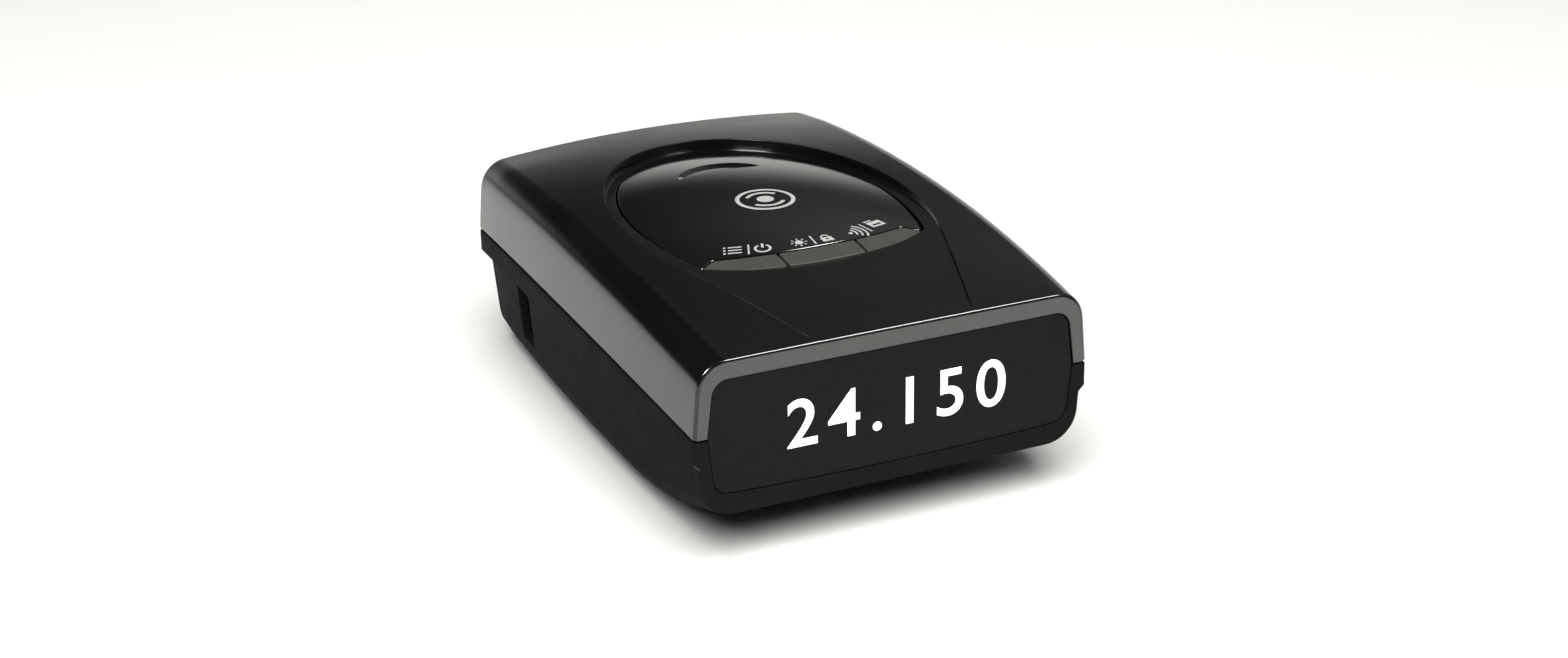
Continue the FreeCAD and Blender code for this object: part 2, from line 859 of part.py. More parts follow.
def display_flex():
    """A flat cable from the display board down to its connector on the main board."""
    drop = block("display_flex_drop", 17, from_front(7.35), 12.4, 10, FLEX_THICKNESS, 12)
    run = block("display_flex_run", 17, from_front(7.35), 12.4, 10, 6.2, FLEX_THICKNESS)
    return join("display_flex", [drop, run])


# ---------------------------------------------------------------- control cap and keys


def crescent_groove():
    """A finger scoop like a new moon, deepest along its front edge."""
    tip_x = 8.6
    tip_y = from_front(70.6)
    body = make_body("groove")
    points = [(-tip_x, tip_y), (tip_x, tip_y)]
    sketch = profile(body, "groove_outline", "XY_Plane", points, {0: -1.1, 1: 6.4}, height=37.9)
    pad(body, "groove_block", sketch, 6)
    return body


def control_cap():
    top = overlap("cap_top", [prism("cap_prism", cap_edges(0), 33.0, 60), dome("cap_dome", 0)])
    lip = prism("cap_lip", cap_edges(1.0), 33.0, 34.0)
    hollow = overlap("cap_hollow", [
        prism("cap_inside", cap_edges(-1.4), 30, 60),
        dome("cap_underside", d.cap_thickness),
    ])
    key_space = prism("key_space", key_edges(d.cap_gap.value), 30, 60)
    key_front = block("key_front_space", 0, FRONT, 30, 60, d.key_tip + 0.3, 30)
    board_top = d.key_board_bottom + d.key_board_thickness
    posts = [cylinder(f"cap_post_{i}", x, y, board_top + d.fit_gap, d.cap_post_radius, 7.4)
             for i, (x, y) in enumerate(cap_post_places())]
    pilots = [cylinder(f"cap_pilot_{i}", x, y, board_top - 1, d.board_screw_radius + 0.05, 5)
              for i, (x, y) in enumerate(cap_post_places())]
    shell = cut("cap_shell", join("cap_with_lip", [top, lip]), [hollow])
    posted = join("cap_posted", [shell] + posts)
    return cut("control_cap", posted, [key_space, key_front, crescent_groove()] + pilots)


def cap_post_places():
    for side in SIDES:
        yield d.cap_post_x * side, from_front(d.cap_post_y)


def key_rows():
    """Each key's name, its left and right limits and the middle of its stem."""
    inner = d.key_split.value - d.key_gap.value / 2
    outer = d.key_split.value + d.key_gap.value / 2
    edge = 30.0
    return (
        ("menu_key", -edge, -outer, -13.6),
        ("dim_key", -inner, inner, 0.0),
        ("mute_key", outer, edge, 13.6),
    )


def stem_distance(stem_x):
    """How far behind the front face a key's stem stands, along the arc of the keys."""
    return 27.6 + stem_x * stem_x / 80


def key(name, left, right, stem_x):
    zone = prism(f"{name}_zone", key_edges(0), d.key_bottom.value, 60)
    span = block(f"{name}_span", (left + right) / 2, FRONT, 30, right - left, 60, 40)
    top = overlap(f"{name}_top", [zone, span, dome(f"{name}_dome", 0.08)])
    stem_y = from_front(stem_distance(stem_x))
    stem = cylinder(f"{name}_stem", stem_x, stem_y, d.key_bottom - 0.8, 1.6, 2.0)
    tab = block(f"{name}_tab", stem_x, stem_y - 3.4, d.key_bottom, 8, 6.7, 0.4)
    return join(name, [top, stem, tab])


def key_board():
    plate = block("key_plate", 0, from_front(24.5), d.key_board_bottom, 38, 17.2,
                  d.key_board_thickness)
    holes = [cylinder(f"key_board_hole_{i}", x, y, 28, d.board_screw_radius + 0.2, 5)
             for i, (x, y) in enumerate(cap_post_places())]
    return cut("key_board", plate, holes)


def key_board_screws():
    """Two screws that hold the key board up against the cap's posts."""
    screws = []
    for i, (x, y) in enumerate(cap_post_places()):
        head = cylinder(f"key_screw_head_{i}", x, y, d.key_board_bottom - 1.3,
                        d.board_screw_head_radius, 1.3 - d.fit_gap)
        shank = cylinder(f"key_screw_shank_{i}", x, y, d.key_board_bottom - 0.5,
                         d.board_screw_radius, 4.8)
        screws.append(join(f"key_screw_{i}", [head, shank]))
    return group("key_board_screws", screws)


def key_switches():
    switches = []
    for i, (name, left, right, stem_x) in enumerate(key_rows()):
        y = from_front(stem_distance(stem_x))
        body = block(f"switch_body_{i}", stem_x, y - 2.2, 30.62, 4.4, 4.4, 1.4)
        button = cylinder(f"switch_button_{i}", stem_x, y, 30.7, 1.1, 1.7)
        switches.append(join(f"switch_{i}", [body, button]))
    return group("key_switches", switches)


def key_membrane():
    sheet_solid = block("membrane_sheet", 0, from_front(24.8), 32.5, 37, 10.6, 0.7)
    bosses = []
    for i, (name, left, right, stem_x) in enumerate(key_rows()):
        y = from_front(stem_distance(stem_x))
        bosses.append(cylinder(f"membrane_boss_{i}", stem_x, y, 32.6, 2.0, 1.3))
    return join("key_membrane", [sheet_solid] + bosses)


def key_flex():
    drop = block("key_flex_drop", 17.0, from_front(41.75), 12.4, 6, FLEX_THICKNESS, 18)
    run = block("key_flex_run", 17.0, from_front(41.75), 12.4, 6, 3.4, FLEX_THICKNESS)
    return join("key_flex", [drop, run])


# ---------------------------------------------------------------- electronics


BOARD_TOP = d.board_bottom + d.board_thickness


def main_board():
    plate = block("board_plate", 0, from_front(9), d.board_bottom, d.board_half_width * 2, 81,
                  d.board_thickness)
    notch = block("board_notch", -25, from_front(77), 0, 12, 12, 20)
    holes = [cylinder(f"board_hole_{i}", x, y, 0, 1.2, 20)
             for i, (x, y) in enumerate(board_post_places())]
    return cut("main_board", plate, [notch] + holes)


def board_screws():
    screws = []
    for i, (x, y) in enumerate(board_post_places()):
        head = cylinder(f"board_screw_head_{i}", x, y, BOARD_TOP + d.fit_gap,
                        d.board_screw_head_radius, 1.3)
        shank = cylinder(f"board_screw_shank_{i}", x, y, BOARD_TOP - 5.0, d.board_screw_radius, 5.5)
        screws.append(join(f"board_screw_{i}", [head, shank]))
    return group("board_screws", screws)


def board_connectors():
    display = block("display_connector", 17, from_front(13.6), BOARD_TOP, 12, 3, 2.0)
    keys = block("key_connector", 17, from_front(45.2), BOARD_TOP, 8, 3, 2.0)
    return group("board_connectors", [display, keys])


def shield_can():
    x = -5.0
    skin = 0.4
    outside = block("can_outside", x, from_front(12), BOARD_TOP, 26, 23, 3.6)
    inside = block("can_inside", x, from_front(12) + skin, BOARD_TOP - 1, 26 - 2 * skin,
                   23 - 2 * skin, 4.6 - skin)
    return cut("shield_can", outside, [inside])


def board_capacitors():
    places = ((12.5, 23.0), (12.5, 30.0), (19.5, 26.5))
    return group("board_capacitors", [
        cylinder(f"capacitor_{i}", x, from_front(y), BOARD_TOP, 3.0, 7.5)
        for i, (x, y) in enumerate(places)
    ])


def rf_housing():
    """The cast box with the receiver's mixer, on two feet over the board."""
    casting = block("rf_casting", d.horn_x, from_front(42), 13.6, 30, 20, 12)
    rims = [block(f"rf_foot_{i}", d.horn_x + side * 12, from_front(42), BOARD_TOP, 6, 20, 3)
            for i, side in enumerate(SIDES)]
    return join("rf_housing", [casting] + rims)


def horn_loft(name, grow, start, end):
    body = make_body(name)
    sections = []
    for i, (distance, half, tall) in enumerate(((start, 5.2, 2.7), (end, 17.0, 6.8))):
        x, z = half + grow, tall + grow
        corners = [(d.horn_x - x, d.horn_height - z), (d.horn_x + x, d.horn_height - z),
                   (d.horn_x + x, d.horn_height + z), (d.horn_x - x, d.horn_height + z)]
        height = -from_front(distance)
        sections.append(profile(body, f"{name}_{i}", "XZ_Plane", corners, height=height))
    loft = body.newObject("PartDesign::AdditiveLoft", f"{name}_loft")
    loft.Profile = sections[0]
    loft.Sections = sections[1:]
    loft.Ruled = True
    return body


def horn_antenna():
    flange = block("horn_flange", d.horn_x, from_front(62.02), 14.4, 20, 2, 11)
    outside = horn_loft("horn_outside", 1.1, size(62.02), size(103))
    inside = horn_loft("horn_inside", 0.0, size(61), size(104))
    return cut("horn_antenna", join("horn_body", [flange, outside]), [inside])


def gps_antenna():
    return block("gps_antenna", d.horn_x, from_front(42.5), 25.62, 18, 18, 4.0)


def laser_lens():
    disc = cylinder("lens_disc", d.laser_x, REAR - 5.6, d.laser_height, d.laser_radius, 2.9, "y")
    ball = doc.addObject("Part::Sphere", "lens_ball")
    bind(ball, "Radius", 9.0)
    bind_place(ball, d.laser_x, REAR - 11.75, d.laser_height)
    return overlap("laser_lens", [disc, ball])


def laser_sensor():
    can = cylinder("sensor_can", d.laser_x, from_front(94), d.laser_height, 3.6, 8.4, "y")
    plate = block("sensor_board", d.laser_x, from_front(92.6), d.laser_height - 5, 10, 1.4, 10)
    return join("laser_sensor", [can, plate])


def ring(name, x, y, z, outer, inner, height):
    return cut(name, cylinder(f"{name}_outer", x, y, z, outer, height),
               [cylinder(f"{name}_inner", x, y, size(z) - 1, inner, size(height) + 2)])


def speaker_gasket():
    floor = d.base_height + d.wall
    y = from_front(d.speaker_y)
    return ring("speaker_gasket", d.speaker_x, y, floor + d.fit_gap, d.speaker_radius, 7.5, 0.7)


def speaker():
    base = d.base_height + d.wall + 0.74
    y = from_front(d.speaker_y)
    basket = cylinder("speaker_basket", d.speaker_x, y, base, d.speaker_radius, 2.0)
    magnet = cylinder("speaker_magnet", d.speaker_x, y, base, 6.0, 4.2)
    cone = cylinder("speaker_cone", d.speaker_x, y, base - 0.1, 7.0, 0.7)
    return cut("speaker", join("speaker_body", [basket, magnet]), [cone])


# ---------------------------------------------------------------- sockets


def power_socket():
    """An upright modular socket whose mouth stands in the left wall."""
    y = from_front(d.power_port)
    z = d.power_port_height
    shell = block("power_shell", -26.9, y - 4.4, z - 6.0, 11.2, 8.8, 12.0)
    mouth = block("power_mouth", -28.6, y - 3.3, z - 5.0, 11.0, 6.6, 10.0)
    return cut("power_socket", shell, [mouth])


def audio_socket():
    y = from_front(d.audio_port)
    z = d.audio_port_height
    shell = block("audio_shell", 26.7, y - 3.5, z - 3.4, 12.6, 7, 6.8)
    nose = cylinder("audio_nose", 32.5, y, z, 2.5, 2.5, "x")
    bore = cylinder("audio_bore", 22.0, y, z, d.audio_bore_radius, 14, "x")
    return cut("audio_socket", join("audio_body", [shell, nose]), [bore])


def data_socket():
    y = from_front(d.data_port)
    z = d.data_port_height
    shell = block("data_shell", 30.0, y - 3.9, z - 1.95, 8.0, 7.8, 3.9)
    mouth = block("data_mouth", 31.0, y - 3.45, z - 1.55, 7.5, 6.9, 3.1)
    tongue = block("data_tongue", 29.5, y - 2.4, z - 0.35, 6.0, 4.8, 0.7)
    return join("data_socket", [cut("data_body", shell, [mouth]), tongue])


def bracket_guide():
    """The channel behind the rear slot that takes the windscreen bracket's blade."""
    low = d.bracket_slot_height - d.bracket_slot_thickness / 2
    channel = block("guide_channel", 0, from_front(92.5), low - 1.0, d.bracket_slot_width + 3, 12.2,
                    d.bracket_slot_thickness + 2.0)
    blade = block("guide_space", 0, from_front(94), low, d.bracket_slot_width, 20,
                  d.bracket_slot_thickness)
    return cut("bracket_guide", channel, [blade])


# ---------------------------------------------------------------- the assembly


MAKERS = (
    top_cover, bottom_case, display_window, display_panel, display_glass, display_board, display_flex,
    control_cap, key_membrane, key_board, key_board_screws, key_switches, key_flex, main_board, board_screws,
    board_connectors, shield_can, board_capacitors, rf_housing, horn_antenna, gps_antenna,
    laser_lens, laser_sensor, speaker, speaker_gasket, power_socket, audio_socket, data_socket,
    bracket_guide, case_screws, feet, rating_plate,
)

nodes = {maker.__name__: maker() for maker in MAKERS}
for name, left, right, stem_x in key_rows():
    nodes[name] = key(name, left, right, stem_x)
doc.recompute()

broken = [o.Name for o in doc.Objects if {"Invalid", "Error"} & set(o.State)]
for name, node in nodes.items():
    node.Label = name
    if node.Shape.isNull() or not node.Shape.isValid() or node.Shape.Volume <= 0:
        broken.append(name)
if broken:
    raise SystemExit(f"these did not build: {broken}")

os.makedirs("parts", exist_ok=True)
for name, node in nodes.items():
    node.Shape.exportStep(f"parts/{name}.step")
    print(f"{name:18s} {node.Shape.Volume:10.1f} mm3 in {len(node.Shape.Solids)} solid(s)")
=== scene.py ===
"""Looks of the dashboard radar detector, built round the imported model.

The outer shells are finely curved skins, made from the same dimensions as the CAD parts. Lengths are
millimetres until a mesh is made. x is to the right of the display, z is up, and depth is the distance
behind the front face. Flat outlines are triangulated and then bent onto a surface."""

import json
import math

import bmesh
import bpy
import numpy as np
from mathutils import Matrix, Vector
from mathutils.geometry import delaunay_2d_cdt


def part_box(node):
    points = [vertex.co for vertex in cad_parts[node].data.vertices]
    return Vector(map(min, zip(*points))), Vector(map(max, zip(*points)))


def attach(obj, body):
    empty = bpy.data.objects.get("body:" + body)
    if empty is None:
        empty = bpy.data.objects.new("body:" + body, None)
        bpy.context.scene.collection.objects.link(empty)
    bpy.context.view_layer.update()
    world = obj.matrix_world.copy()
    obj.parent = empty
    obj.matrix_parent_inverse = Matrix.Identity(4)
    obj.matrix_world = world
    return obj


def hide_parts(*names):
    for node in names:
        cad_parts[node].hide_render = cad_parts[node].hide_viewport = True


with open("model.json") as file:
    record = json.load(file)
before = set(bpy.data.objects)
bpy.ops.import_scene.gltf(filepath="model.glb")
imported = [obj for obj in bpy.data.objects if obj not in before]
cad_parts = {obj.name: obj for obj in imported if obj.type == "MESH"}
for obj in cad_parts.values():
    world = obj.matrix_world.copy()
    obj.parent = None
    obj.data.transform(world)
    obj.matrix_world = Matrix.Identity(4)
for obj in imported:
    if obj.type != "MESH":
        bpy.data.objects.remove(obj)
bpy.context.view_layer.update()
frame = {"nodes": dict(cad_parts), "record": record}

MM = 0.001
COVER_BOX = np.array(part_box("top_cover")) / MM
FRONT = COVER_BOX[0][1]
LENGTH = COVER_BOX[1][1] - COVER_BOX[0][1]

# ---- shared dimensions

# The outline from above: half widths at the parting line, and the bowed rear face.
HALF_WIDTH = 36.0
FLARE = 0.6
BULGE = 1.55
BULGE_LENGTH = 106.0
REAR_RADIUS = 274.0
REAR_CORNER = 1.0
BOW_START = 94.0

# The arched line where the cover and the case meet.
PARTING_CREST = 24.33
PARTING_RADIUS = 660.0
PARTING_GAP = 0.42

SHELL = 0.35
DOWN, UP = (0, 0, -1), (0, 0, 1)
AHEAD, BEHIND = (0, -1, 0), (0, 1, 0)

# The cover's cross-section. Its sides ease from the rounded edge into their draft.
COVER_HEIGHT = 35.47
COVER_ARCH = 3.1
COVER_DRAFT = math.radians(5.0)
COVER_EDGE = 5.3
EASE = math.radians(4.5)
EASE_LENGTH = 2.5

# The case's cross-section, the curved belly in front and the flange under the parting line.
CASE_DRAFT = math.tan(math.radians(4.3))
CASE_EDGE = 5.5
BASE_HEIGHT = 0.6
BELLY_LENGTH = 36.0
BELLY_RADIUS = 87.4
FLANGE_HEIGHT = 5.1
FLANGE_BEVEL = 0.85
FLANGE_STEP = 0.975

# The recess round the cap: an ellipse that runs out to the front edge in two straight creases.
RECESS_HALF = 26.8
RECESS_LENGTH = 42.5
RECESS_CENTRE = 50.0
RECESS_TURN = math.radians(27.3)
RECESS_SHOULDER = np.array([23.8, 30.2])
RECESS_FRONT = np.array([14.2, 0.0])

# The cap and the row of keys along its front.
CAP_HALF = 23.8
CAP_REAR = 39.0
CAP_SIDE = 44.6
CAP_CENTRE = 52.0
CAP_CREST = 39.7
CAP_GAP = 0.32
KEY_TIP = np.array([21.0, 31.0])
KEY_FRONT = 24.9
KEY_REAR = 29.8
KEY_SHOULDER = np.array([17.6, 33.4])
KEY_END_BULGE = 0.35
KEY_SPLIT = 7.35
KEY_GAP = 0.45


# ---- numbers


def smooth(value, low, high):
    t = np.clip((value - low) / (high - low), 0, 1)
    return t * t * (3 - 2 * t)


def quarter(distance, radius):
    """How far a rounded edge lies inside the sharp one, at a distance from its end."""
    left = np.clip(radius - distance, 0, radius)
    return radius - np.sqrt(radius**2 - left**2)


def hump(depth):
    t = depth / BULGE_LENGTH
    return 4 * t * (1 - t)


def half_width(depth):
    return HALF_WIDTH + FLARE * depth / BULGE_LENGTH + BULGE * hump(depth)


def parting(depth):
    return PARTING_CREST - (depth + FRONT) ** 2 / (2 * PARTING_RADIUS)


def bow(x):
    return x * x / (2 * REAR_RADIUS)


def unit(vectors):
    size = np.linalg.norm(vectors, axis=-1, keepdims=True)
    return vectors / np.maximum(size, 1e-12)


# ---- skins


class Skin:
    """A thin closed shell: the outer faces that are added, a copy just inside, and the rims."""

    def __init__(self):
        self.index = {}
        self.points = []
        self.faces = []
        self.normals = []

    def corner(self, point):
        key = tuple(round(c, 3) for c in point)
        if key not in self.index:
            self.index[key] = len(self.points)
            self.points.append(point)
        return self.index[key]

    def add(self, points, normals, faces):
        corners = [self.corner(tuple(p)) for p in points.tolist()]
        normals = normals.tolist()
        for face in faces:
            face = list(face)
            ring = [corners[i] for i in face]
            if len(set(ring)) < len(ring):
                face = [i for n, i in enumerate(face) if ring[n] not in ring[:n]]
                ring = [corners[i] for i in face]
            if len(ring) > 2:
                self.faces.append(ring)
                self.normals.append([normals[i] for i in face])

    def build(self, name, material, thickness=SHELL):
        points = np.array(self.points)
        count = len(points)
        total = np.zeros_like(points)
        for face, normals in zip(self.faces, self.normals):
            for i, normal in zip(face, normals):
                total[i] += normal
        total = unit(total)
        everything = np.vstack([points, points - total * thickness])
        faces = list(self.faces)
        normals = [n for face in self.normals for n in face]
        for face in self.faces:
            faces.append([i + count for i in reversed(face)])
            normals.extend((-total[i]).tolist() for i in reversed(face))
        runs = {(a, b) for face in self.faces for a, b in zip(face, face[1:] + face[:1])}
        for a, b in sorted(runs):
            if (b, a) not in runs:
                ring = [b, a, a + count, b + count]
                faces.append(ring)
                corners = everything[ring]
                normal = unit(np.cross(corners[1] - corners[0], corners[3] - corners[0])).tolist()
                normals.extend([normal] * 4)
        return new_mesh(name, everything, faces, material, normals)


def new_mesh(name, points, faces, material, normals=None):
    mesh = bpy.data.meshes.new(name)
    mesh.from_pydata((np.asarray(points) * MM).tolist(), [], faces)
    mesh.materials.append(material)
    mesh.shade_smooth()
    if normals is not None:
        mesh.normals_split_custom_set(normals)
    piece = bpy.data.objects.new(name, mesh)
    bpy.context.scene.collection.objects.link(piece)
    return piece


def surface_at(surface, flat, step=1e-3):
    """Points and outward normals of a bent surface at flat places."""
    u, v = flat[:, 0], flat[:, 1]
    across = surface(u + step, v) - surface(u - step, v)
    along = surface(u, v + step) - surface(u, v - step)
    return surface(u, v), unit(np.cross(across, along))


def inside(points, loop):
    """Which flat points are inside a closed loop."""
    x, y = points[:, 0], points[:, 1]
    result = np.zeros(len(points), bool)
    for (x0, y0), (x1, y1) in zip(loop, np.roll(loop, -1, axis=0)):
        if y0 == y1:
            continue
        crossing = x0 + (y - y0) * (x1 - x0) / (y1 - y0)
        result ^= ((y0 > y) != (y1 > y)) & (x < crossing)
    return result


def patch(skin, surface, outline, holes=(), lines=(), grid=(), clear=0.35):
    """Triangulates an outline with holes and feature lines, and bends it onto the surface."""
    fixed, edges = [], []
    for path, closed in [(outline, True)] + [(h, True) for h in holes] + [(n, False) for n in lines]:
        start, count = len(fixed), len(path)
        fixed.extend(path)
        edges += [(start + i, start + (i + 1) % count) for i in range(count if closed else count - 1)]
    points = np.array(fixed)
    if len(grid):
        grid = np.asarray(grid)
        keep = inside(grid, outline)
        for hole in holes:
            keep &= ~inside(grid, hole)
        grid = grid[keep]
        nearest = np.full(len(grid), np.inf)
        for block in np.array_split(points, len(points) // 400 + 1):
            gaps = ((grid[:, None] - block[None]) ** 2).sum(2)
            nearest = np.minimum(nearest, gaps.min(1))
        points = np.vstack([points, grid[nearest > clear**2]])
    result = delaunay_2d_cdt([Vector(p) for p in points], edges, [], 0, 1e-7)
    flat = np.array([points[o[0]] if o else tuple(v) for v, o in zip(result[0], result[3])])
    triangles = np.array(result[2])
    a, b, c = (flat[triangles[:, i]] for i in range(3))
    area = (b - a)[:, 0] * (c - a)[:, 1] - (b - a)[:, 1] * (c - a)[:, 0]
    centres = (a + b + c) / 3
    good = inside(centres, outline) & (area > 1e-7)
    for hole in holes:
        good &= ~inside(centres, hole)
    triangles = triangles[good]
    skin.add(*surface_at(surface, flat), triangles.tolist())
    return flat[np.unique(triangles)]


def lefts(path, closed):
    """The unit vectors that point to the left of a path."""
    if closed:
        run = np.roll(path, -1, axis=0) - np.roll(path, 1, axis=0)
    else:
        run = np.gradient(path, axis=0)
    run = unit(run)
    return np.stack([-run[:, 1], run[:, 0]], axis=1)


def lip(skin, surface, path, radius, depth, down, closed=True, left=None):
    """A rounded edge and a wall along a path with the material on its left. Returns the path that
    the rest of the surface starts from."""
    left = lefts(path, closed) if left is None else left
    down = np.array(down, float)
    tilt = surface(*(path + left * 0.01).T) - surface(*path.T)
    tilt = unit(tilt - (tilt @ down)[:, None] * down)
    rings = []
    for turn in np.radians((0, 30, 60, 90)):
        place = path + left * radius * (1 - math.sin(turn))
        points, normals = surface_at(surface, place)
        points = points + down * radius * (1 - math.cos(turn))
        rings.append((points, unit(normals * math.cos(turn) - tilt * math.sin(turn))))
    wall = surface(*path.T) + down * depth
    rings.append((wall, -tilt))
    points = np.vstack([r[0] for r in rings])
    normals = np.vstack([r[1] for r in rings])
    count = len(path)
    faces = []
    for ring in range(len(rings) - 1):
        for i in range(count if closed else count - 1):
            j = (i + 1) % count
            near, far = ring * count, (ring + 1) * count
            faces.append((near + i, far + i, far + j, near + j))
    skin.add(points, normals, faces)
    return path + left * radius


# ---- flat paths


def line(start, end, spacing=0.8):
    start, end = np.array(start, float), np.array(end, float)
    count = max(1, round(np.linalg.norm(end - start) / spacing))
    return start + (end - start) * np.linspace(0, 1, count + 1)[:, None]


def arc(centre, radii, first, last, spacing=0.8):
    """An arc of an upright ellipse, in degrees from +u towards +v."""
    centre, radii = np.array(centre, float), np.array(radii, float) * np.ones(2)
    length = math.radians(abs(last - first)) * radii.mean()
    turn = np.radians(np.linspace(first, last, max(3, round(length / spacing)) + 1))
    return centre + radii * np.stack([np.cos(turn), np.sin(turn)], axis=1)


def arc_through(start, middle, end, spacing=0.8):
    (ax, ay), (bx, by), (cx, cy) = start, middle, end
    twice = 2 * (ax * (by - cy) + bx * (cy - ay) + cx * (ay - by))
    a, b, c = ax * ax + ay * ay, bx * bx + by * by, cx * cx + cy * cy
    centre = np.array([a * (by - cy) + b * (cy - ay) + c * (ay - by),
                       a * (cx - bx) + b * (ax - cx) + c * (bx - ax)]) / twice
    radius = math.hypot(ax - centre[0], ay - centre[1])
    angles = [math.degrees(math.atan2(y - centre[1], x - centre[0])) for x, y in (start, middle, end)]
    first, mid, last = angles
    forward = (last - first) % 360
    if (mid - first) % 360 > forward:
        forward -= 360
    path = arc(centre, radius, first, first + forward, spacing)
    path[0], path[-1] = start, end
    return path


def chain(*parts):
    """Joins paths end to end, without the doubled points."""
    points = [p for part in parts for p in np.asarray(part, float)]
    kept = [p for i, p in enumerate(points) if i == 0 or np.linalg.norm(p - points[i - 1]) > 1e-6]
    return np.array(kept)


def closed_chain(*parts):
    path = chain(*parts)
    return path[:-1] if np.linalg.norm(path[0] - path[-1]) < 1e-6 else path


def soften(loop, radius, sharp=20):
    """Rounds the corners of a closed path that turn by more than sharp degrees."""
    loop = np.array(loop, float)
    ahead = np.roll(loop, -1, axis=0) - loop
    behind = np.roll(ahead, 1, axis=0)
    cross = behind[:, 0] * ahead[:, 1] - behind[:, 1] * ahead[:, 0]
    bends = np.abs(np.arctan2(cross, (behind * ahead).sum(1)))
    marks = np.concatenate([[0], np.cumsum(np.linalg.norm(ahead, axis=1))])
    total = marks[-1]
    ring = np.vstack([loop, loop[:1]])
    kept = np.ones(len(loop), bool)
    arcs = {}
    for i in np.flatnonzero(bends > math.radians(sharp)):
        reach = radius * math.tan(bends[i] / 2)
        away = (marks[:-1] - marks[i] + total / 2) % total - total / 2
        kept &= np.abs(away) > reach
        places = (marks[i] + np.array([-reach, reach])) % total
        start, end = np.stack([np.interp(places, marks, axis) for axis in ring.T], axis=1)
        t = np.linspace(0, 1, 8)[:, None]
        a, b, c = (1 - t) ** 2, 2 * t * (1 - t) * math.cos(bends[i] / 2), t * t
        arcs[i] = (a * start + b * loop[i] + c * end) / (a + b + c)
    return np.vstack([arcs[i] if i in arcs else loop[i] for i in range(len(loop)) if i in arcs or kept[i]])


def mirrored(path):
    """The same path on the other side of the middle, so that it runs on from the original."""
    return np.asarray(path)[::-1] * np.array([-1, 1])


def clockwise(loop):
    x, y = loop.T
    area = (x * np.roll(y, -1) - np.roll(x, -1) * y).sum()
    return loop if area < 0 else loop[::-1]


def anticlockwise(loop):
    return clockwise(loop)[::-1]


def rows(*spans):
    """Sorted values: each span is (start, end, spacing) or a single value."""
    values = set()
    for span in spans:
        if isinstance(span, tuple):
            start, end, spacing = span
            count = max(1, round((end - start) / spacing))
            values |= {round(start + (end - start) * i / count, 4) for i in range(count + 1)}
        else:
            values.add(round(span, 4))
    return np.array(sorted(values))


def lattice(columns, levels):
    u, v = np.meshgrid(columns, levels)
    return np.stack([u.ravel(), v.ravel()], axis=1)


# ---- top cover

TOP_U = 31.0
ARC_U = TOP_U + 8.0
SIDE_U = ARC_U + 7.5
TURN_U = SIDE_U + 0.3
LAND_U = TURN_U + 1.0
SKIRT_RADIUS = 0.2
FRONT_ROUND = 0.55
REAR_ROUND = 0.5


RECESS_START = 6.0
FLAT_CROWN = 0.05
FULL_CROWN = 0.95
CROWN_LENGTH = 47.7

FLOOR_CREST = 38.1
CREST_DEPTH = 30.0
TONGUE_FALL = 2.62
TONGUE_DEPTH = 0.3
TONGUE_STEP = 9.0
REAR_FALL = 2.6
REAR_LENGTH = 68.0
WALL_STEPS = (-0.25, -0.21, -0.17, -0.13, -0.09, -0.05, -0.01, 0.03, 0.06, 0.09, 0.13)


def crown(depth):
    """How far the middle of the cover's top stands above its edges."""
    t = np.clip(1 - depth / CROWN_LENGTH, 0, 1)
    return FLAT_CROWN + FULL_CROWN * (1 - t * t)


def recess_floor(depth):
    """The height of the recess's floor, which falls off to the front edge and to the rear."""
    ahead = np.clip(CREST_DEPTH - depth, 0, None)
    behind = np.clip(depth - CREST_DEPTH, 0, None)
    front = TONGUE_FALL * (ahead / CREST_DEPTH) ** 2 + TONGUE_DEPTH * smooth(ahead, 0, TONGUE_STEP)
    return FLOOR_CREST - front - REAR_FALL * (behind / REAR_LENGTH) ** 1.6


def recess_distance(x, depth):
    """Distance outside the recess's outline, negative inside it."""
    x = np.abs(x)
    y = depth - RECESS_CENTRE
    level = (x / RECESS_HALF) ** 2 + (y / RECESS_LENGTH) ** 2 - 1
    slope = 2 * np.sqrt((x / RECESS_HALF**2) ** 2 + (y / RECESS_LENGTH**2) ** 2)
    run = unit(RECESS_FRONT - RECESS_SHOULDER)
    ahead = (x - RECESS_SHOULDER[0]) * run[0] + (depth - RECESS_SHOULDER[1]) * run[1]
    side = -(x - RECESS_SHOULDER[0]) * run[1] + (depth - RECESS_SHOULDER[1]) * run[0]
    return np.where(ahead > 0, side, level / np.maximum(slope, 1e-6))


def cover_frame(v):
    """The cover's cross-section at a depth: top line, edge radius and where its parts meet."""
    front = quarter(v, FRONT_ROUND)
    radius = COVER_EDGE - front
    half = half_width(v) - front - quarter(LENGTH - v, REAR_CORNER)
    top = COVER_HEIGHT + COVER_ARCH * hump(v) - front - quarter(LENGTH - v, REAR_ROUND)
    shoulder_z = top - radius * (1 - math.sin(COVER_DRAFT + EASE))
    shoulder_x = half - (shoulder_z - PARTING_CREST + 2) * math.tan(COVER_DRAFT) - EASE * EASE_LENGTH / 3
    centre_x = shoulder_x - radius * math.cos(COVER_DRAFT + EASE)
    lean = 2 * crown(v) / HALF_WIDTH
    return radius, top, shoulder_x, shoulder_z, centre_x, lean


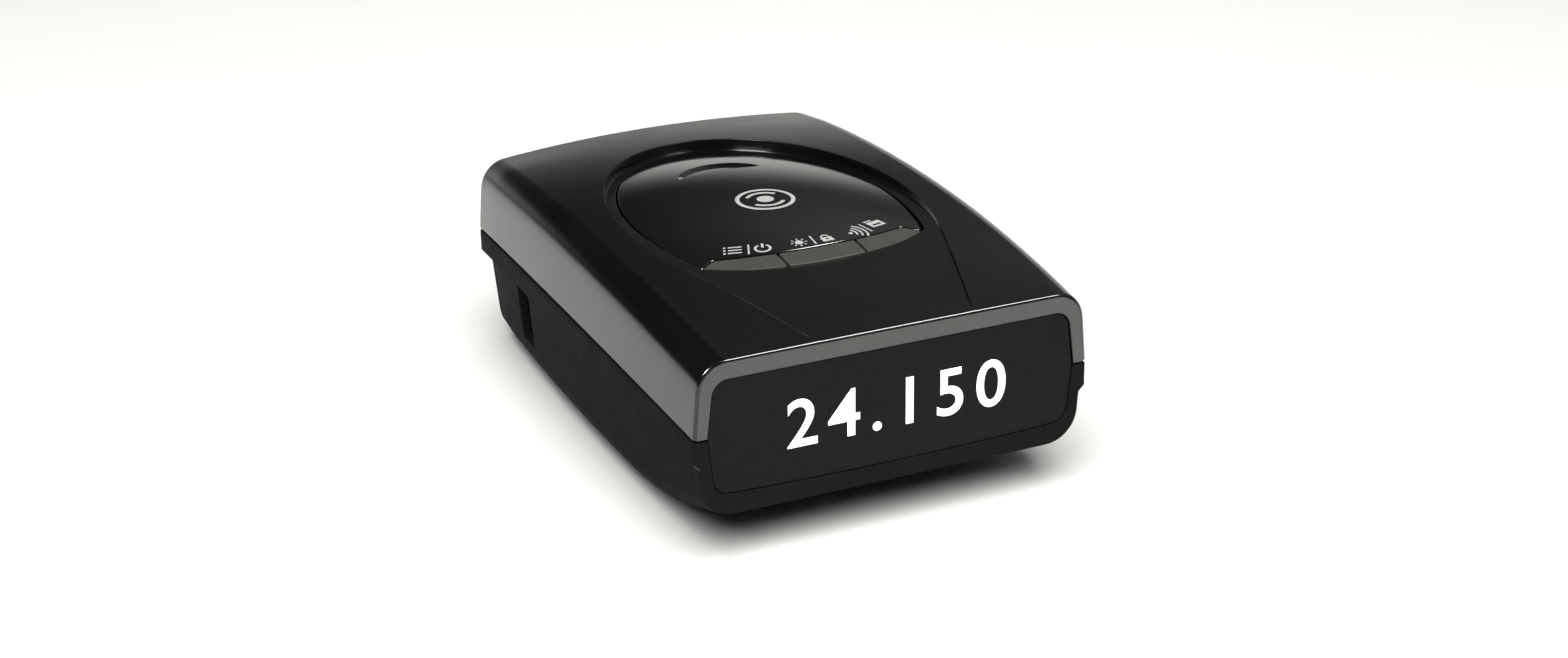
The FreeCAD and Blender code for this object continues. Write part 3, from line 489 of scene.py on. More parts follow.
def cover_surface(u, v):
    """The cover's outside. u runs from the middle of the top down a side, and v is the depth."""
    radius, top, shoulder_x, shoulder_z, centre_x, lean = cover_frame(v)
    k = np.abs(u)
    share = np.clip(k / TOP_U, 0, 1)
    x = (centre_x + radius * np.sin(lean)) * share
    z = top - radius + radius * np.cos(lean) + crown(v) * (1 - share**2)
    turn = np.clip((k - TOP_U) / (ARC_U - TOP_U), 0, 1)
    angle = (math.pi / 2 - lean) * (1 - turn) + (COVER_DRAFT + EASE) * turn
    on_arc = k > TOP_U
    x = np.where(on_arc, centre_x + radius * np.cos(angle), x)
    z = np.where(on_arc, top - radius + radius * np.sin(angle), z)
    bottom = parting(v) + PARTING_GAP / 2
    fall = np.clip((k - ARC_U) / (SIDE_U - ARC_U), 0, 1)
    side_z = shoulder_z + fall * (bottom + SKIRT_RADIUS - shoulder_z)
    eased = 1 - np.clip(1 - (shoulder_z - side_z) / EASE_LENGTH, 0, 1) ** 3
    side_x = shoulder_x + (shoulder_z - side_z) * math.tan(COVER_DRAFT) + EASE * EASE_LENGTH / 3 * eased
    bend = np.clip((k - SIDE_U) / (TURN_U - SIDE_U), 0, 1) * math.pi / 2
    side_x = side_x - SKIRT_RADIUS * (1 - np.cos(bend)) - np.clip(k - TURN_U, 0, None)
    side_z = side_z - SKIRT_RADIUS * np.sin(bend)
    on_side = k > ARC_U
    x = np.where(on_side, side_x, x)
    z = np.where(on_side, side_z, z)
    y = v - bow(x) * smooth(v, BOW_START, LENGTH)
    sunk = np.clip(z - recess_floor(y), 0, None) * smooth(v, 0, RECESS_START)
    wall = smooth(recess_distance(x, y), WALL_STEPS[0], WALL_STEPS[-1])
    z = z - np.where(on_arc, 0, sunk * (1 - wall))
    return np.stack([np.sign(u) * x, y + FRONT, z], axis=1)


def on_cover(path):
    """From x and depth on the cover's top to its flat coordinates."""
    radius, _, _, _, centre_x, lean = cover_frame(path[:, 1])
    return np.stack([path[:, 0] / (centre_x + radius * np.sin(lean)) * TOP_U, path[:, 1]], axis=1)


def recess_line(offset, levels):
    """The recess's outline from the right of the front edge, round the rear, to the left."""
    run = (RECESS_SHOULDER - RECESS_FRONT) / (RECESS_SHOULDER[1] - RECESS_FRONT[1])
    out = unit(np.array([run[1], -run[0]]))
    start = RECESS_FRONT + offset * out
    straight = [start + run * (level - start[1]) for level in levels]
    turn = np.radians(np.linspace(-math.degrees(RECESS_TURN), 90, 100))
    curve = np.stack([RECESS_HALF * np.cos(turn), RECESS_LENGTH * np.sin(turn)], axis=1)
    out = unit(np.stack([np.cos(turn) / RECESS_HALF, np.sin(turn) / RECESS_LENGTH], axis=1))
    curve = curve + offset * out + np.array([0, RECESS_CENTRE])
    curve[-1][0] = 0
    half = chain(np.array(straight)[:-1], curve)
    return chain(half, mirrored(half))


def cap_edge(offset):
    """The cap's outline from the right tip of the keys, round the rear, to the left tip."""
    half, rear, side = CAP_HALF + offset, CAP_REAR + offset, CAP_SIDE + offset
    drop = CAP_CENTRE - KEY_TIP[1] + 0.6 * offset
    turn = math.degrees(math.asin(drop / side))
    centre = (0, CAP_CENTRE)
    right = arc(centre, (half, side), -turn, 0)
    return chain(right, arc(centre, (half, rear), 0, 180), mirrored(right))


def cap_loop(offset):
    """The cap and the keys together, anticlockwise from the right tip."""
    edge = cap_edge(offset)
    return closed_chain(edge, arc_through(edge[-1], (0, KEY_FRONT - offset), edge[0]))


WINDOW_TOP = 31.95
WINDOW_LOW = 11.75
WINDOW_HALF = 33.45
WINDOW_CORNER = 2.8
WINDOW_SAG = 0.6
WINDOW_GAP = 0.12
UPPER_LEAN = 0.089
LOWER_LEAN = 0.076


def window_loop(offset):
    """The window's outline, anticlockwise in x and z from the middle of its lower edge."""
    middle = parting(0.0)
    top, low, corner = WINDOW_TOP + offset, WINDOW_LOW - offset, WINDOW_CORNER + offset
    half = WINDOW_HALF + offset
    top_x = half - (top - middle) * UPPER_LEAN
    low_x = half - (middle - low) * LOWER_LEAN
    sag = [(0, low - WINDOW_SAG), ((low_x - corner) / 2, low - 0.75 * WINDOW_SAG), (low_x - corner, low)]
    right = [
        arc_through(*sag),
        arc((low_x - corner, low + corner), corner, -90, 0, 0.4),
        line((low_x, low + corner), (half, middle)),
        line((half, middle), (top_x, top - corner)),
        arc((top_x - corner, top - corner), corner, 0, 90, 0.4),
        line((top_x - corner, top), (0, top)),
    ]
    path = chain(*right)
    return closed_chain(path, mirrored(path))


def window_side(offset, level, above):
    """The part of the window's outline above or below a level, with the middle on its right."""
    loop = window_loop(offset)
    wanted = (loop[:, 1] > level) == above
    start = next(i for i in range(len(loop)) if wanted[i] and not wanted[i - 1])
    order = [(start + i) % len(loop) for i in range(int(wanted.sum()))]
    path = loop[order]

    def crossing(a, b):
        return a + (b - a) * (level - a[1]) / (b[1] - a[1])

    before, after = loop[start - 1], loop[(order[-1] + 1) % len(loop)]
    return chain([crossing(before, path[0])], path, [crossing(path[-1], after)])


def opening(skin, surface, level, above):
    """The edge of the window's hole in one half of the front face."""
    path = window_side(WINDOW_GAP, level, above)[::-1]
    left = lefts(path, False)
    left[0] = (math.copysign(1, left[0][0]), 0)
    left[-1] = (math.copysign(1, left[-1][0]), 0)
    return lip(skin, surface, path, 0.15, 1.4, BEHIND, closed=False, left=left)


def front_surface(x, z):
    return np.stack([x, np.full_like(x, FRONT), z], axis=1)


def front_face(skin, rim, above, levels):
    """The flat front between a shell's rim and the window: the half above or below the parting."""
    outer = rim[::-1, (0, 2)]
    inner = opening(skin, front_surface, outer[-1][1], above)
    bridge = line(outer[-1], inner[0])[1:-1]
    back = line(inner[-1], outer[0])[1:-1]
    grid = lattice(rows((-36, 36, 1.3)), rows(levels))
    patch(skin, front_surface, closed_chain(outer, bridge, inner, back), grid=grid)


def edge_row(flat, depth):
    """The flat points along one end of a skin, in order of u."""
    row = flat[np.abs(flat[:, 1] - depth) < 1e-6]
    return row[np.argsort(row[:, 0])]


def border(columns, levels, last):
    """The outline of the flat rectangle that a shell is bent from."""
    return closed_chain(
        np.stack([columns, np.zeros_like(columns)], axis=1),
        np.stack([np.full_like(levels, last), levels], axis=1),
        np.stack([columns[::-1], np.full_like(columns, LENGTH)], axis=1),
        np.stack([np.full_like(levels, -last), levels[::-1]], axis=1),
    )


BRACKET_SLOT = ((-15.0, 30.3), (15.0, 32.5))


def make_cover(material):
    skin = Skin()
    near = rows(0, 0.02, 0.06, 0.13, 0.23, 0.38, 0.55, 0.8)
    far = LENGTH - rows(0, 0.03, 0.1, 0.2, 0.35, 0.5, 0.8, 1.2, 1.7, 2.3, 3)
    levels = np.sort(np.concatenate([near, rows((1.4, LENGTH - 4, 1.1)), far]))
    arcs = rows((TOP_U, ARC_U, 0.8), (ARC_U, SIDE_U, 0.75), SIDE_U + 0.1, SIDE_U + 0.2, TURN_U, LAND_U)
    half = np.concatenate([rows((0, TOP_U, 1.1))[:-1], arcs])
    columns = np.concatenate([-half[:0:-1], half])
    outline = border(columns, levels, LAND_U)
    fine = np.concatenate([near, rows((1.4, 29, 0.7))])
    lines = [on_cover(recess_line(step, fine)) for step in WALL_STEPS]
    hole = on_cover(soften(cap_loop(CAP_GAP), 0.8))[::-1]
    hole = lip(skin, cover_surface, hole, 0.15, 1.5, DOWN)
    flat = patch(skin, cover_surface, outline, [hole], lines, lattice(columns, levels))

    front_face(skin, cover_surface(*edge_row(flat, 0).T), True, (21, 37, 1.3))

    row = cover_surface(*edge_row(flat, LENGTH).T)[:, (0, 2)] * (-1, 1)
    (left, low), (right, high) = BRACKET_SLOT
    slot = soften(np.array([(left, low), (left, high), (right, high), (right, low)]), 0.8)
    slot = lip(skin, cover_rear, slot, 0.2, 2.5, AHEAD)
    patch(skin, cover_rear, closed_chain(row, line(row[-1], row[0])[1:-1]), [slot],
          grid=lattice(rows((-33, 33, 1.5)), rows((21, 37, 1.3))))
    return skin.build("cover_shell", material)


def cover_rear(u, z):
    return np.stack([-u, FRONT + LENGTH - bow(u), z], axis=1)


# ---- lower case

BELLY_U = 28.0
FILLET_U = BELLY_U + 8.2
WALL_U = FILLET_U + 11.5
LEDGE_U = WALL_U + 0.6
BEVEL_U = LEDGE_U + 1.2
FLANGE_U = BEVEL_U + 3.9
CURL_U = FLANGE_U + 0.3
CASE_LAND_U = CURL_U + 1.0
CASE_ROUND = 0.4
BASE_ROUND = 1.5
CURL_RADIUS = 0.2
COLLAR = (2.5, 3.6)
COLLAR_STEP = 0.525
COLLAR_EDGE = 0.4
FILLET_STEPS = 9


def case_profile(v):
    """Half a cross-section for each depth: flat positions, x and z there, and how far the rear face
    is drawn in at that place."""
    front = quarter(v, CASE_ROUND)
    corner = quarter(LENGTH - v, REAR_CORNER)
    half = half_width(v) - corner
    flange = half - front
    collar = 1 - smooth(v, *COLLAR)
    step = FLANGE_STEP - COLLAR_STEP * collar + front
    belly = np.clip(BELLY_LENGTH - v, 0, None)
    base = BASE_HEIGHT + belly**2 / (2 * BELLY_RADIUS) + front + quarter(LENGTH - v, BASE_ROUND)
    radius = CASE_EDGE + COLLAR_EDGE * collar - front
    top = parting(v) - PARTING_GAP / 2
    under = parting(v) - FLANGE_HEIGHT
    lean = math.atan(CASE_DRAFT)

    def wall(z):
        return half - step - (PARTING_CREST - z) * CASE_DRAFT

    low = base + radius * (1 - math.sin(lean))
    centre_x = wall(low) - radius * math.cos(lean)
    places = [(0, np.zeros_like(v), base), (BELLY_U, centre_x, base)]
    for i in range(1, FILLET_STEPS + 1):
        angle = (math.pi / 2 - lean) * (1 - i / FILLET_STEPS) + lean
        u = BELLY_U + (FILLET_U - BELLY_U) * i / FILLET_STEPS
        places.append((u, centre_x + radius * math.cos(angle), base + radius * (1 - math.sin(angle))))
    places += [
        (WALL_U, wall(under), under),
        (LEDGE_U, flange - FLANGE_BEVEL, under),
        (BEVEL_U, flange, under + FLANGE_BEVEL),
        (FLANGE_U, flange, top - CURL_RADIUS),
        (FLANGE_U + 0.1, flange - 0.03, top - 0.1),
        (FLANGE_U + 0.2, flange - 0.1, top - 0.03),
        (CURL_U, flange - CURL_RADIUS, top),
        (CASE_LAND_U, flange - CURL_RADIUS - 1, top),
    ]
    marks, xs, zs = (np.array(values) for values in zip(*places))
    draws = half - xs
    below = marks <= FILLET_U
    draws[below] = FLANGE_STEP + (PARTING_CREST - zs[below]) * CASE_DRAFT
    return marks, xs, zs, draws


def along_profile(marks, values, u):
    """Values at flat positions u, where each column of values belongs to one u."""
    right = np.clip(np.searchsorted(marks, u, side="right"), 1, len(marks) - 1)
    share = np.clip((u - marks[right - 1]) / (marks[right] - marks[right - 1]), 0, None)
    item = np.arange(len(u))
    return values[right - 1, item] * (1 - share) + values[right, item] * share


def case_surface(u, v):
    """The case's outside. u runs from the middle of the base up a side, and v is the depth."""
    marks, xs, zs, draws = case_profile(v)
    k = np.abs(u)
    x = along_profile(marks, xs, k)
    z = along_profile(marks, zs, k)
    draw = along_profile(marks, draws, np.maximum(k, BELLY_U))
    y = v - (bow(x) + draw) * smooth(v, BOW_START, LENGTH)
    return np.stack([-np.sign(u) * x, y + FRONT, z], axis=1)


def case_rear(u, w):
    marks, _, zs, draws = case_profile(np.full_like(w, LENGTH))
    z = along_profile(marks, zs, w)
    draw = along_profile(marks, draws, w)
    return np.stack([-u, FRONT + LENGTH - bow(u) - draw, z], axis=1)


def on_case_side(side, path):
    """From depth and z on a side wall to flat coordinates; side is 1 on the right."""
    result = []
    for depth, z in path:
        marks, _, zs, _ = case_profile(np.array([depth]))
        wall = slice(1 + FILLET_STEPS, 3 + FILLET_STEPS)
        result.append((-side * np.interp(z, zs[wall, 0], marks[wall]), depth))
    return np.array(result)


def on_case_base(path):
    """From x and depth under the case to flat coordinates."""
    result = []
    for x, depth in path:
        marks, xs, _, _ = case_profile(np.array([depth]))
        under = slice(0, 2 + FILLET_STEPS)
        result.append((-math.copysign(np.interp(abs(x), xs[under, 0], marks[under]), x), depth))
    return np.array(result)


def rounded_box(centre, width, height, radius):
    """A clockwise rounded rectangle."""
    (a, b), w, h = centre, width / 2, height / 2
    corners = [(a - w, b - h), (a - w, b + h), (a + w, b + h), (a + w, b - h)]
    sides = [line(corners[i], corners[(i + 1) % 4], 0.9)[:-1] for i in range(4)]
    return soften(np.vstack(sides), radius)


def circle(centre, radius, spacing=0.5):
    """A clockwise circle."""
    return arc(centre, radius, 360, 0, spacing)[:-1]


def wells(skin, places, radius, edge, depth, spacing=0.5):
    """Round holes in the base."""
    paths = [clockwise(on_case_base(circle(place, radius, spacing))) for place in places]
    return [lip(skin, case_surface, path, edge, depth, UP) for path in paths]


# Openings in the side walls: the middle in depth and z, then the size and the corner radius.
POWER_OPENING = ((82.8, 12.1), 6.6, 10.6, 0.5)
DATA_OPENING = ((66.0, 13.1), 8.6, 4.6, 0.8)
AUDIO_OPENING = ((82.0, 14.6), 2.6)
SCREWS = [(side * 29.0, depth) for side in (-1, 1) for depth in (14.0, 96.5)]
SCREW_WELL = 2.4
FEET = [(side * 24.0, depth) for side in (-1, 1) for depth in (44.0, 88.0)]
FOOT_SEAT = 4.05
SPEAKER = (10.0, 52.0)
GRILLE_RADIUS = 4.5
GRILLE_HOLE = 0.8
PLATE_SEAT = ((0, 74), 36, 16, 1.0)
LASER = (18.5, 11.4)
LASER_HOLE = 4.4


def make_case(material):
    skin = Skin()
    near = rows(0, 0.02, 0.06, 0.12, 0.2, 0.3, 0.4, 0.8, 1.6, (2.3, 3.8, 0.15))
    far = LENGTH - rows(0, 0.03, 0.1, 0.2, 0.4, 0.7, 1.1, 1.5, 1.9, 2.4, 3)
    levels = np.sort(np.concatenate([near, rows((4.8, LENGTH - 4, 1.3)), far]))
    creases = [WALL_U, LEDGE_U, BEVEL_U]
    sharp = [u + shift for u in creases for shift in (-0.08, 0, 0.08)]
    fillet = rows((BELLY_U, FILLET_U, (FILLET_U - BELLY_U) / FILLET_STEPS))
    half = rows((0, BELLY_U, 1.4), (FILLET_U, WALL_U - 0.08, 1.3), (BEVEL_U + 0.08, FLANGE_U, 1.0),
                *fillet, *sharp, FLANGE_U + 0.1, FLANGE_U + 0.2, CURL_U, CASE_LAND_U)
    columns = np.concatenate([-half[:0:-1], half])
    outline = border(columns, levels, CASE_LAND_U)
    lines = [np.stack([np.full_like(levels, side * u), levels], axis=1) for u in sharp for side in (-1, 1)]
    holes = []
    sockets = ((-1, rounded_box(*POWER_OPENING)), (1, rounded_box(*DATA_OPENING)),
               (1, circle(*AUDIO_OPENING, 0.4)))
    for side, path in sockets:
        path = clockwise(on_case_side(side, path))
        holes.append(lip(skin, case_surface, path, 0.2, 1.6, (-side, 0, 0)))
    holes += wells(skin, SCREWS, SCREW_WELL, 0.15, 2.2)
    holes += wells(skin, FEET, FOOT_SEAT, 0.12, 1.0)
    spokes = [(math.cos(math.tau * i / 6), math.sin(math.tau * i / 6)) for i in range(6)] + [(0, 0)]
    grille = [(SPEAKER[0] + GRILLE_RADIUS * c, SPEAKER[1] + GRILLE_RADIUS * s) for c, s in spokes]
    holes += wells(skin, grille, GRILLE_HOLE, 0.1, 1.6, 0.25)
    plate = clockwise(on_case_base(rounded_box(*PLATE_SEAT)))
    holes.append(lip(skin, case_surface, plate, 0.1, 0.3, UP))
    flat = patch(skin, case_surface, outline, holes, lines, lattice(columns, levels), 0.3)

    front_face(skin, case_surface(*edge_row(flat, 0).T), False, (7, 23, 1.3))

    row = edge_row(flat, LENGTH)
    xs = case_surface(*row.T)[:, 0]
    outer = np.stack([-xs, np.maximum(np.abs(row[:, 0]), BELLY_U)], axis=1)
    marks, widths, zs, _ = case_profile(np.array([LENGTH]))
    window = circle(LASER, LASER_HOLE, 0.4) * (-1, 1)
    window[:, 1] = np.interp(window[:, 1], zs[:, 0], marks)
    window = lip(skin, case_rear, clockwise(window), 0.2, 1.6, AHEAD)
    across = rows((-36, 36, 1.4))
    reaches = np.interp(sharp, marks, widths[:, 0])
    rear_lines = [line((-reach, u), (reach, u), 1.4) for reach, u in zip(reaches, sharp)]
    top = line(outer[-1], outer[0], 1.4)[1:-1]
    patch(skin, case_rear, closed_chain(outer, top), [window], rear_lines,
          lattice(across, half[half > BELLY_U]), 0.2)
    return skin.build("case_shell", material)


# ---- cap and keys

DOME = (94.6, 119.5, 60.0)
KEY_DROP = 0.08


def dome(x, depth, drop=0.0):
    """The height of the ellipsoid that the cap and the keys follow, lowered by drop."""
    fall = 1 - (x / DOME[0]) ** 2 - ((depth - RECESS_CENTRE) / DOME[1]) ** 2
    return CAP_CREST - drop - DOME[2] + DOME[2] * np.sqrt(fall)


def dome_surface(drop=0.0):
    def surface(x, depth):
        return np.stack([x, depth + FRONT, dome(x, depth, drop)], axis=1)
    return surface


def arc_depth(x, crest, end):
    """The depth at x of the arc that has its crest in the middle and passes through end."""
    reach = end[1] - crest
    radius = (end[0] ** 2 + reach**2) / (2 * reach)
    return crest + radius - math.sqrt(radius**2 - x * x)


def front_arc(x):
    return arc_depth(x, KEY_FRONT, KEY_TIP)


def rear_arc(x, offset=0.0):
    return arc_depth(x, KEY_REAR, KEY_SHOULDER) + offset


def key_end(offset=0.0):
    """The rounded end of the row of keys, from its shoulder to its tip."""
    shoulder = KEY_SHOULDER + (offset / 2, offset)
    bulge = (shoulder + KEY_TIP) / 2 + KEY_END_BULGE
    return arc_through(shoulder, bulge, KEY_TIP, 0.3)


def cap_top_loop():
    """The cap's own outline: it stops at the row of keys."""
    edge = cap_edge(0.0)
    end = key_end(CAP_GAP)
    rear = np.array([(x, rear_arc(x, CAP_GAP)) for x in np.linspace(-end[0][0], end[0][0], 60)[1:-1]])
    return soften(closed_chain(edge, mirrored(end[:-1]), rear, end[:-1]), 0.6)


SCOOP_TIP = np.array([8.6, 71.7])
SCOOP_LOW = 72.8
SCOOP_HIGH = 78.3
SCOOP_DEPTH = 0.5
FRONT_SLOPE = 2.2
REAR_SLOPE = 1.0


def scoop_loop():
    """The finger scoop, anticlockwise from its left tip."""
    left = SCOOP_TIP * (-1, 1)
    lower = arc_through(left, (0, SCOOP_LOW), SCOOP_TIP, 0.25)
    upper = arc_through(SCOOP_TIP, (0, SCOOP_HIGH), left, 0.25)
    return closed_chain(lower, upper)


def arc_distance(x, depth, crest):
    """How far a place lies outside the arc through the scoop's tips and a crest."""
    rise = crest - SCOOP_TIP[1]
    radius = (SCOOP_TIP[0] ** 2 + rise**2) / (2 * rise)
    return np.hypot(x, depth - crest + radius) - radius


def scoop_surface(x, depth):
    """The dome with the scoop pressed into it: a gentle slope in front and a steeper one behind."""
    front = smooth(arc_distance(x, depth, SCOOP_LOW), 0, FRONT_SLOPE)
    rear = smooth(-arc_distance(x, depth, SCOOP_HIGH), 0, REAR_SLOPE)
    return np.stack([x, depth + FRONT, dome(x, depth, SCOOP_DEPTH * front * rear)], axis=1)


def make_cap(material):
    skin = Skin()
    surface = dome_surface()
    outline = lip(skin, surface, cap_top_loop(), 0.25, 1.6, DOWN)
    scoop = scoop_loop()
    patch(skin, surface, outline, [scoop], grid=lattice(rows((-24, 24, 1.0)), rows((29, 91, 1.0))))
    patch(skin, scoop_surface, scoop, grid=lattice(rows((-9, 9, 0.25)), rows((71, 79, 0.25))), clear=0.1)
    return skin.build("cap_shell", material)


def key_loop(place):
    """The outline of one key: -1 is the left one, 0 the middle one and 1 the right one."""
    inner = KEY_SPLIT - KEY_GAP / 2
    outer = KEY_SPLIT + KEY_GAP / 2
    if place == 0:
        front = [(x, front_arc(x)) for x in np.linspace(-inner, inner, 24)]
        rear = [(x, rear_arc(x)) for x in np.linspace(inner, -inner, 24)]
        return soften(closed_chain(front, line(front[-1], rear[0]), rear, line(rear[-1], front[0])), 0.4)
    front = [(x, front_arc(x)) for x in np.linspace(outer, KEY_TIP[0] - 0.25, 26)]
    rear = [(x, rear_arc(x)) for x in np.linspace(KEY_SHOULDER[0], outer, 20)]
    end = key_end()[::-1]
    loop = closed_chain(front, end[1:], rear, line(rear[-1], front[0]))
    if place < 0:
        loop = mirrored(loop)
    return soften(loop, 0.4)


def make_key(name, place, material):
    skin = Skin()
    surface = dome_surface(KEY_DROP)
    outline = lip(skin, surface, anticlockwise(key_loop(place)), 0.2, 1.8, DOWN)
    patch(skin, surface, outline, grid=lattice(rows((-22, 22, 0.7)), rows((24, 35, 0.7))), clear=0.25)
    return skin.build(name, material)


# ---- window and display

WINDOW_RECESS = 0.35


def make_window(material):
    skin = Skin()

    def surface(x, z):
        return np.stack([x, np.full_like(x, FRONT + WINDOW_RECESS), z], axis=1)

    outline = lip(skin, surface, anticlockwise(window_loop(0.0)), 0.12, 1.65, BEHIND)
    patch(skin, surface, outline, grid=lattice(rows((-34, 34, 2.0)), rows((10, 33, 2.0))))
    return skin.build("window_pane", material, 0.11)


# ---- prints

PRINT_HEIGHT = 0.02
PRINT_THICKNESS = 0.015


def decal(name, material, loops):
    """Thin printed shapes on the cap. Each loop is (outline, holes)."""
    skin = Skin()
    for outline, holes in loops:
        outline = anticlockwise(np.asarray(outline, float))
        holes = [clockwise(np.asarray(h, float)) for h in holes]
        patch(skin, dome_surface(-PRINT_HEIGHT), outline, holes)
    return skin.build(name, material, PRINT_THICKNESS)


def placed(loops, centre, turn=0.0, size=1.0):
    """Moves flat shapes to a centre, turned anticlockwise by an angle in degrees."""
    c, s = math.cos(math.radians(turn)), math.sin(math.radians(turn))
    spin = np.array([[c, s], [-s, c]]) * size
    centre = np.array(centre, float)
    return [(np.asarray(o, float) @ spin + centre, [np.asarray(h, float) @ spin + centre for h in hs])
            for o, hs in loops]


def bar(a, b, width):
    a, b = np.array(a, float), np.array(b, float)
    side = unit(np.array([a[1] - b[1], b[0] - a[0]])) * width / 2
    return np.array([a - side, b - side, b + side, a + side]), []


def disc(centre, radius):
    return circle(centre, radius, radius / 6), []


def ring(centre, outer, inner, first=0, last=360):
    if last - first >= 360:
        return circle(centre, outer, outer / 8), [circle(centre, inner, outer / 8)]
    return chain(arc(centre, outer, first, last, outer / 8), arc(centre, inner, last, first, outer / 8)), []


def list_sign():
    shapes = []
    for level in (-1.2, 0, 1.2):
        shapes.append(disc((-1.6, level), 0.28))
        shapes.append(bar((-0.9, level), (1.8, level), 0.42))
    return shapes


def power_sign():
    return [ring((0, 0), 1.6, 1.15, 120, 420), bar((0, 0.3), (0, 1.9), 0.48)]


def sun_sign():
    shapes = [disc((0, 0), 0.85)]
    for i in range(8):
        turn = math.tau * i / 8
        c, s = math.cos(turn), math.sin(turn)
        shapes.append(bar((1.15 * c, 1.15 * s), (1.75 * c, 1.75 * s), 0.3))
    return shapes


def lock_sign():
    body = np.array([(-1.35, -1.6), (1.35, -1.6), (1.35, 0.25), (-1.35, 0.25)])
    return [(body, [circle((0, -0.65), 0.35, 0.12)]), ring((0, 0.45), 1.05, 0.62, 0, 180)]


def wave_sign():
    arcs = [ring((-1.9, 0), r + 0.19, r - 0.19, -44, 44) for r in (1.5, 2.5, 3.5)]
    return arcs + [disc((-1.5, 0), 0.4)]


def store_sign():
    body = np.array([(-1.9, -1.5), (1.9, -1.5), (1.9, 0.9), (-1.9, 0.9)])
    slot = np.array([(-1.2, -0.9), (1.2, -0.9), (1.2, -0.3), (-1.2, -0.3)])
    return [(body, [slot]), bar((-1.9, 1.45), (0.2, 1.45), 0.45)]


def target_sign():
    arcs = [ring((0, 0), 3.4, 2.75, first, first + 110) for first in (35, 215)]
    return [ring((0, 0), 5.0, 4.3), disc((0, 0), 1.45)] + arcs


def cap_prints():
    shapes = placed(target_sign(), (0.5, 52.8), size=1.08)
    shapes += placed(list_sign(), (-13.6, 35.1), -22, 0.88)
    shapes += placed([bar((0, -1.8), (0, 1.8), 0.3)], (-11.1, 34.0), -22)
    shapes += placed(power_sign(), (-8.8, 33.2), -20, 0.95)
    shapes += placed(sun_sign(), (-2.3, 32.45), -3, 0.85)
    shapes += placed([bar((0, -1.7), (0, 1.7), 0.3)], (0.3, 32.4), -3)
    shapes += placed(lock_sign(), (2.8, 32.45), 3, 0.8)
    shapes += placed(wave_sign(), (9.1, 33.1), 14, 0.95)
    shapes += placed([bar((0, -1.7), (0, 1.7), 0.3)], (11.3, 34.3), 18)
    shapes += placed(store_sign(), (13.9, 35.9), 22, 0.85)
    return shapes


# ---- materials


class Nodes:
    """A material and a short way to add nodes to it."""

    def __init__(self, name, **inputs):
        self.material = bpy.data.materials.new(name)
        self.material.use_nodes = True
        self.tree = self.material.node_tree
        self.shader = self.tree.nodes["Principled BSDF"]
        for key, value in inputs.items():
            self.shader.inputs[key.replace("_", " ")].default_value = value
        self.where = self.tree.nodes.new("ShaderNodeTexCoord").outputs["Object"]

    def add(self, kind, links=(), **settings):
        node = self.tree.nodes.new(kind)
        for key, value in settings.items():
            if hasattr(node, key):
                setattr(node, key, value)
            else:
                node.inputs[key.replace("_", " ")].default_value = value
        for key, source in dict(links).items():
            self.tree.links.new(source, node.inputs[key])
        return node

    def noise(self, size, detail=3.0, roughness=0.5):
        """Noise whose largest features are about size mm across."""
        node = self.add("ShaderNodeTexNoise", {"Vector": self.where},
                        Scale=1 / (size * MM), Detail=detail, Roughness=roughness)
        return node.outputs["Fac"]

    def remap(self, source, low, high, start=0.3, end=0.7):
        node = self.add("ShaderNodeMapRange", {"Value": source})
        for key, value in (("From Min", start), ("From Max", end), ("To Min", low), ("To Max", high)):
            node.inputs[key].default_value = value
        return node.outputs["Result"]

    def colours(self, source, *stops):
        node = self.add("ShaderNodeValToRGB", {"Fac": source})
        ramp = node.color_ramp
        for i, (place, colour) in enumerate(stops):
            stop = ramp.elements[i] if i < 2 else ramp.elements.new(place)
            stop.position = place
            stop.color = (*colour, 1)
        self.tree.links.new(node.outputs["Color"], self.shader.inputs["Base Color"])

    def feed(self, socket, source):
        self.tree.links.new(source, self.shader.inputs[socket])

    def bump(self, source, height, strength=1.0):
        """Relief of the given height in millimetres."""
        node = self.add("ShaderNodeBump", {"Height": source})
        node.inputs["Strength"].default_value = strength
        node.inputs["Distance"].default_value = height * MM
        self.tree.links.new(node.outputs["Normal"], self.shader.inputs["Normal"])


def grey(value):
    return (value, value, value)


def finish(name, low, high, rough, grains, relief, **inputs):
    """A finish whose colour and roughness vary a little, with fine relief. Each of the three grains
    has the size, detail and roughness of its noise."""
    nodes = Nodes(name, **inputs)
    colour_grain, rough_grain, relief_grain = grains
    nodes.colours(nodes.noise(*colour_grain), (0.3, low), (0.7, high))
    nodes.feed("Roughness", nodes.remap(nodes.noise(*rough_grain), *rough))
    nodes.bump(nodes.noise(*relief_grain), relief)
    return nodes.material


def gloss_black(name, ior, rough, coat=0.0):
    return finish(name, (0.0030, 0.0030, 0.0028), (0.0042, 0.0041, 0.0038), (rough - 0.02, rough + 0.03),
                  [(14,), (5, 5), (0.5, 2)], 0.0006, IOR=ior, Coat_Weight=coat, Coat_IOR=ior,
                  Coat_Roughness=rough)


def satin_black(name, tone, rough, ior, relief=0.004):
    low = (tone, tone * 0.96, tone * 0.92)
    high = tuple(c * 1.3 for c in low)
    return finish(name, low, high, (rough - 0.04, rough + 0.05), [(9,), (2.5, 4), (0.22, 2, 0.6)], relief,
                  IOR=ior)


def key_lacquer(name):
    return finish(name, (0.052, 0.051, 0.047), (0.060, 0.059, 0.054), (0.36, 0.44),
                  [(3,), (1.2, 4), (0.15, 2)], 0.001, IOR=1.4)


def smoked(name):
    return finish(name, (0.0065, 0.0061, 0.0058), (0.0080, 0.0075, 0.0071), (0.24, 0.3),
                  [(20,), (6, 4), (0.3, 2)], 0.0008, IOR=1.2)


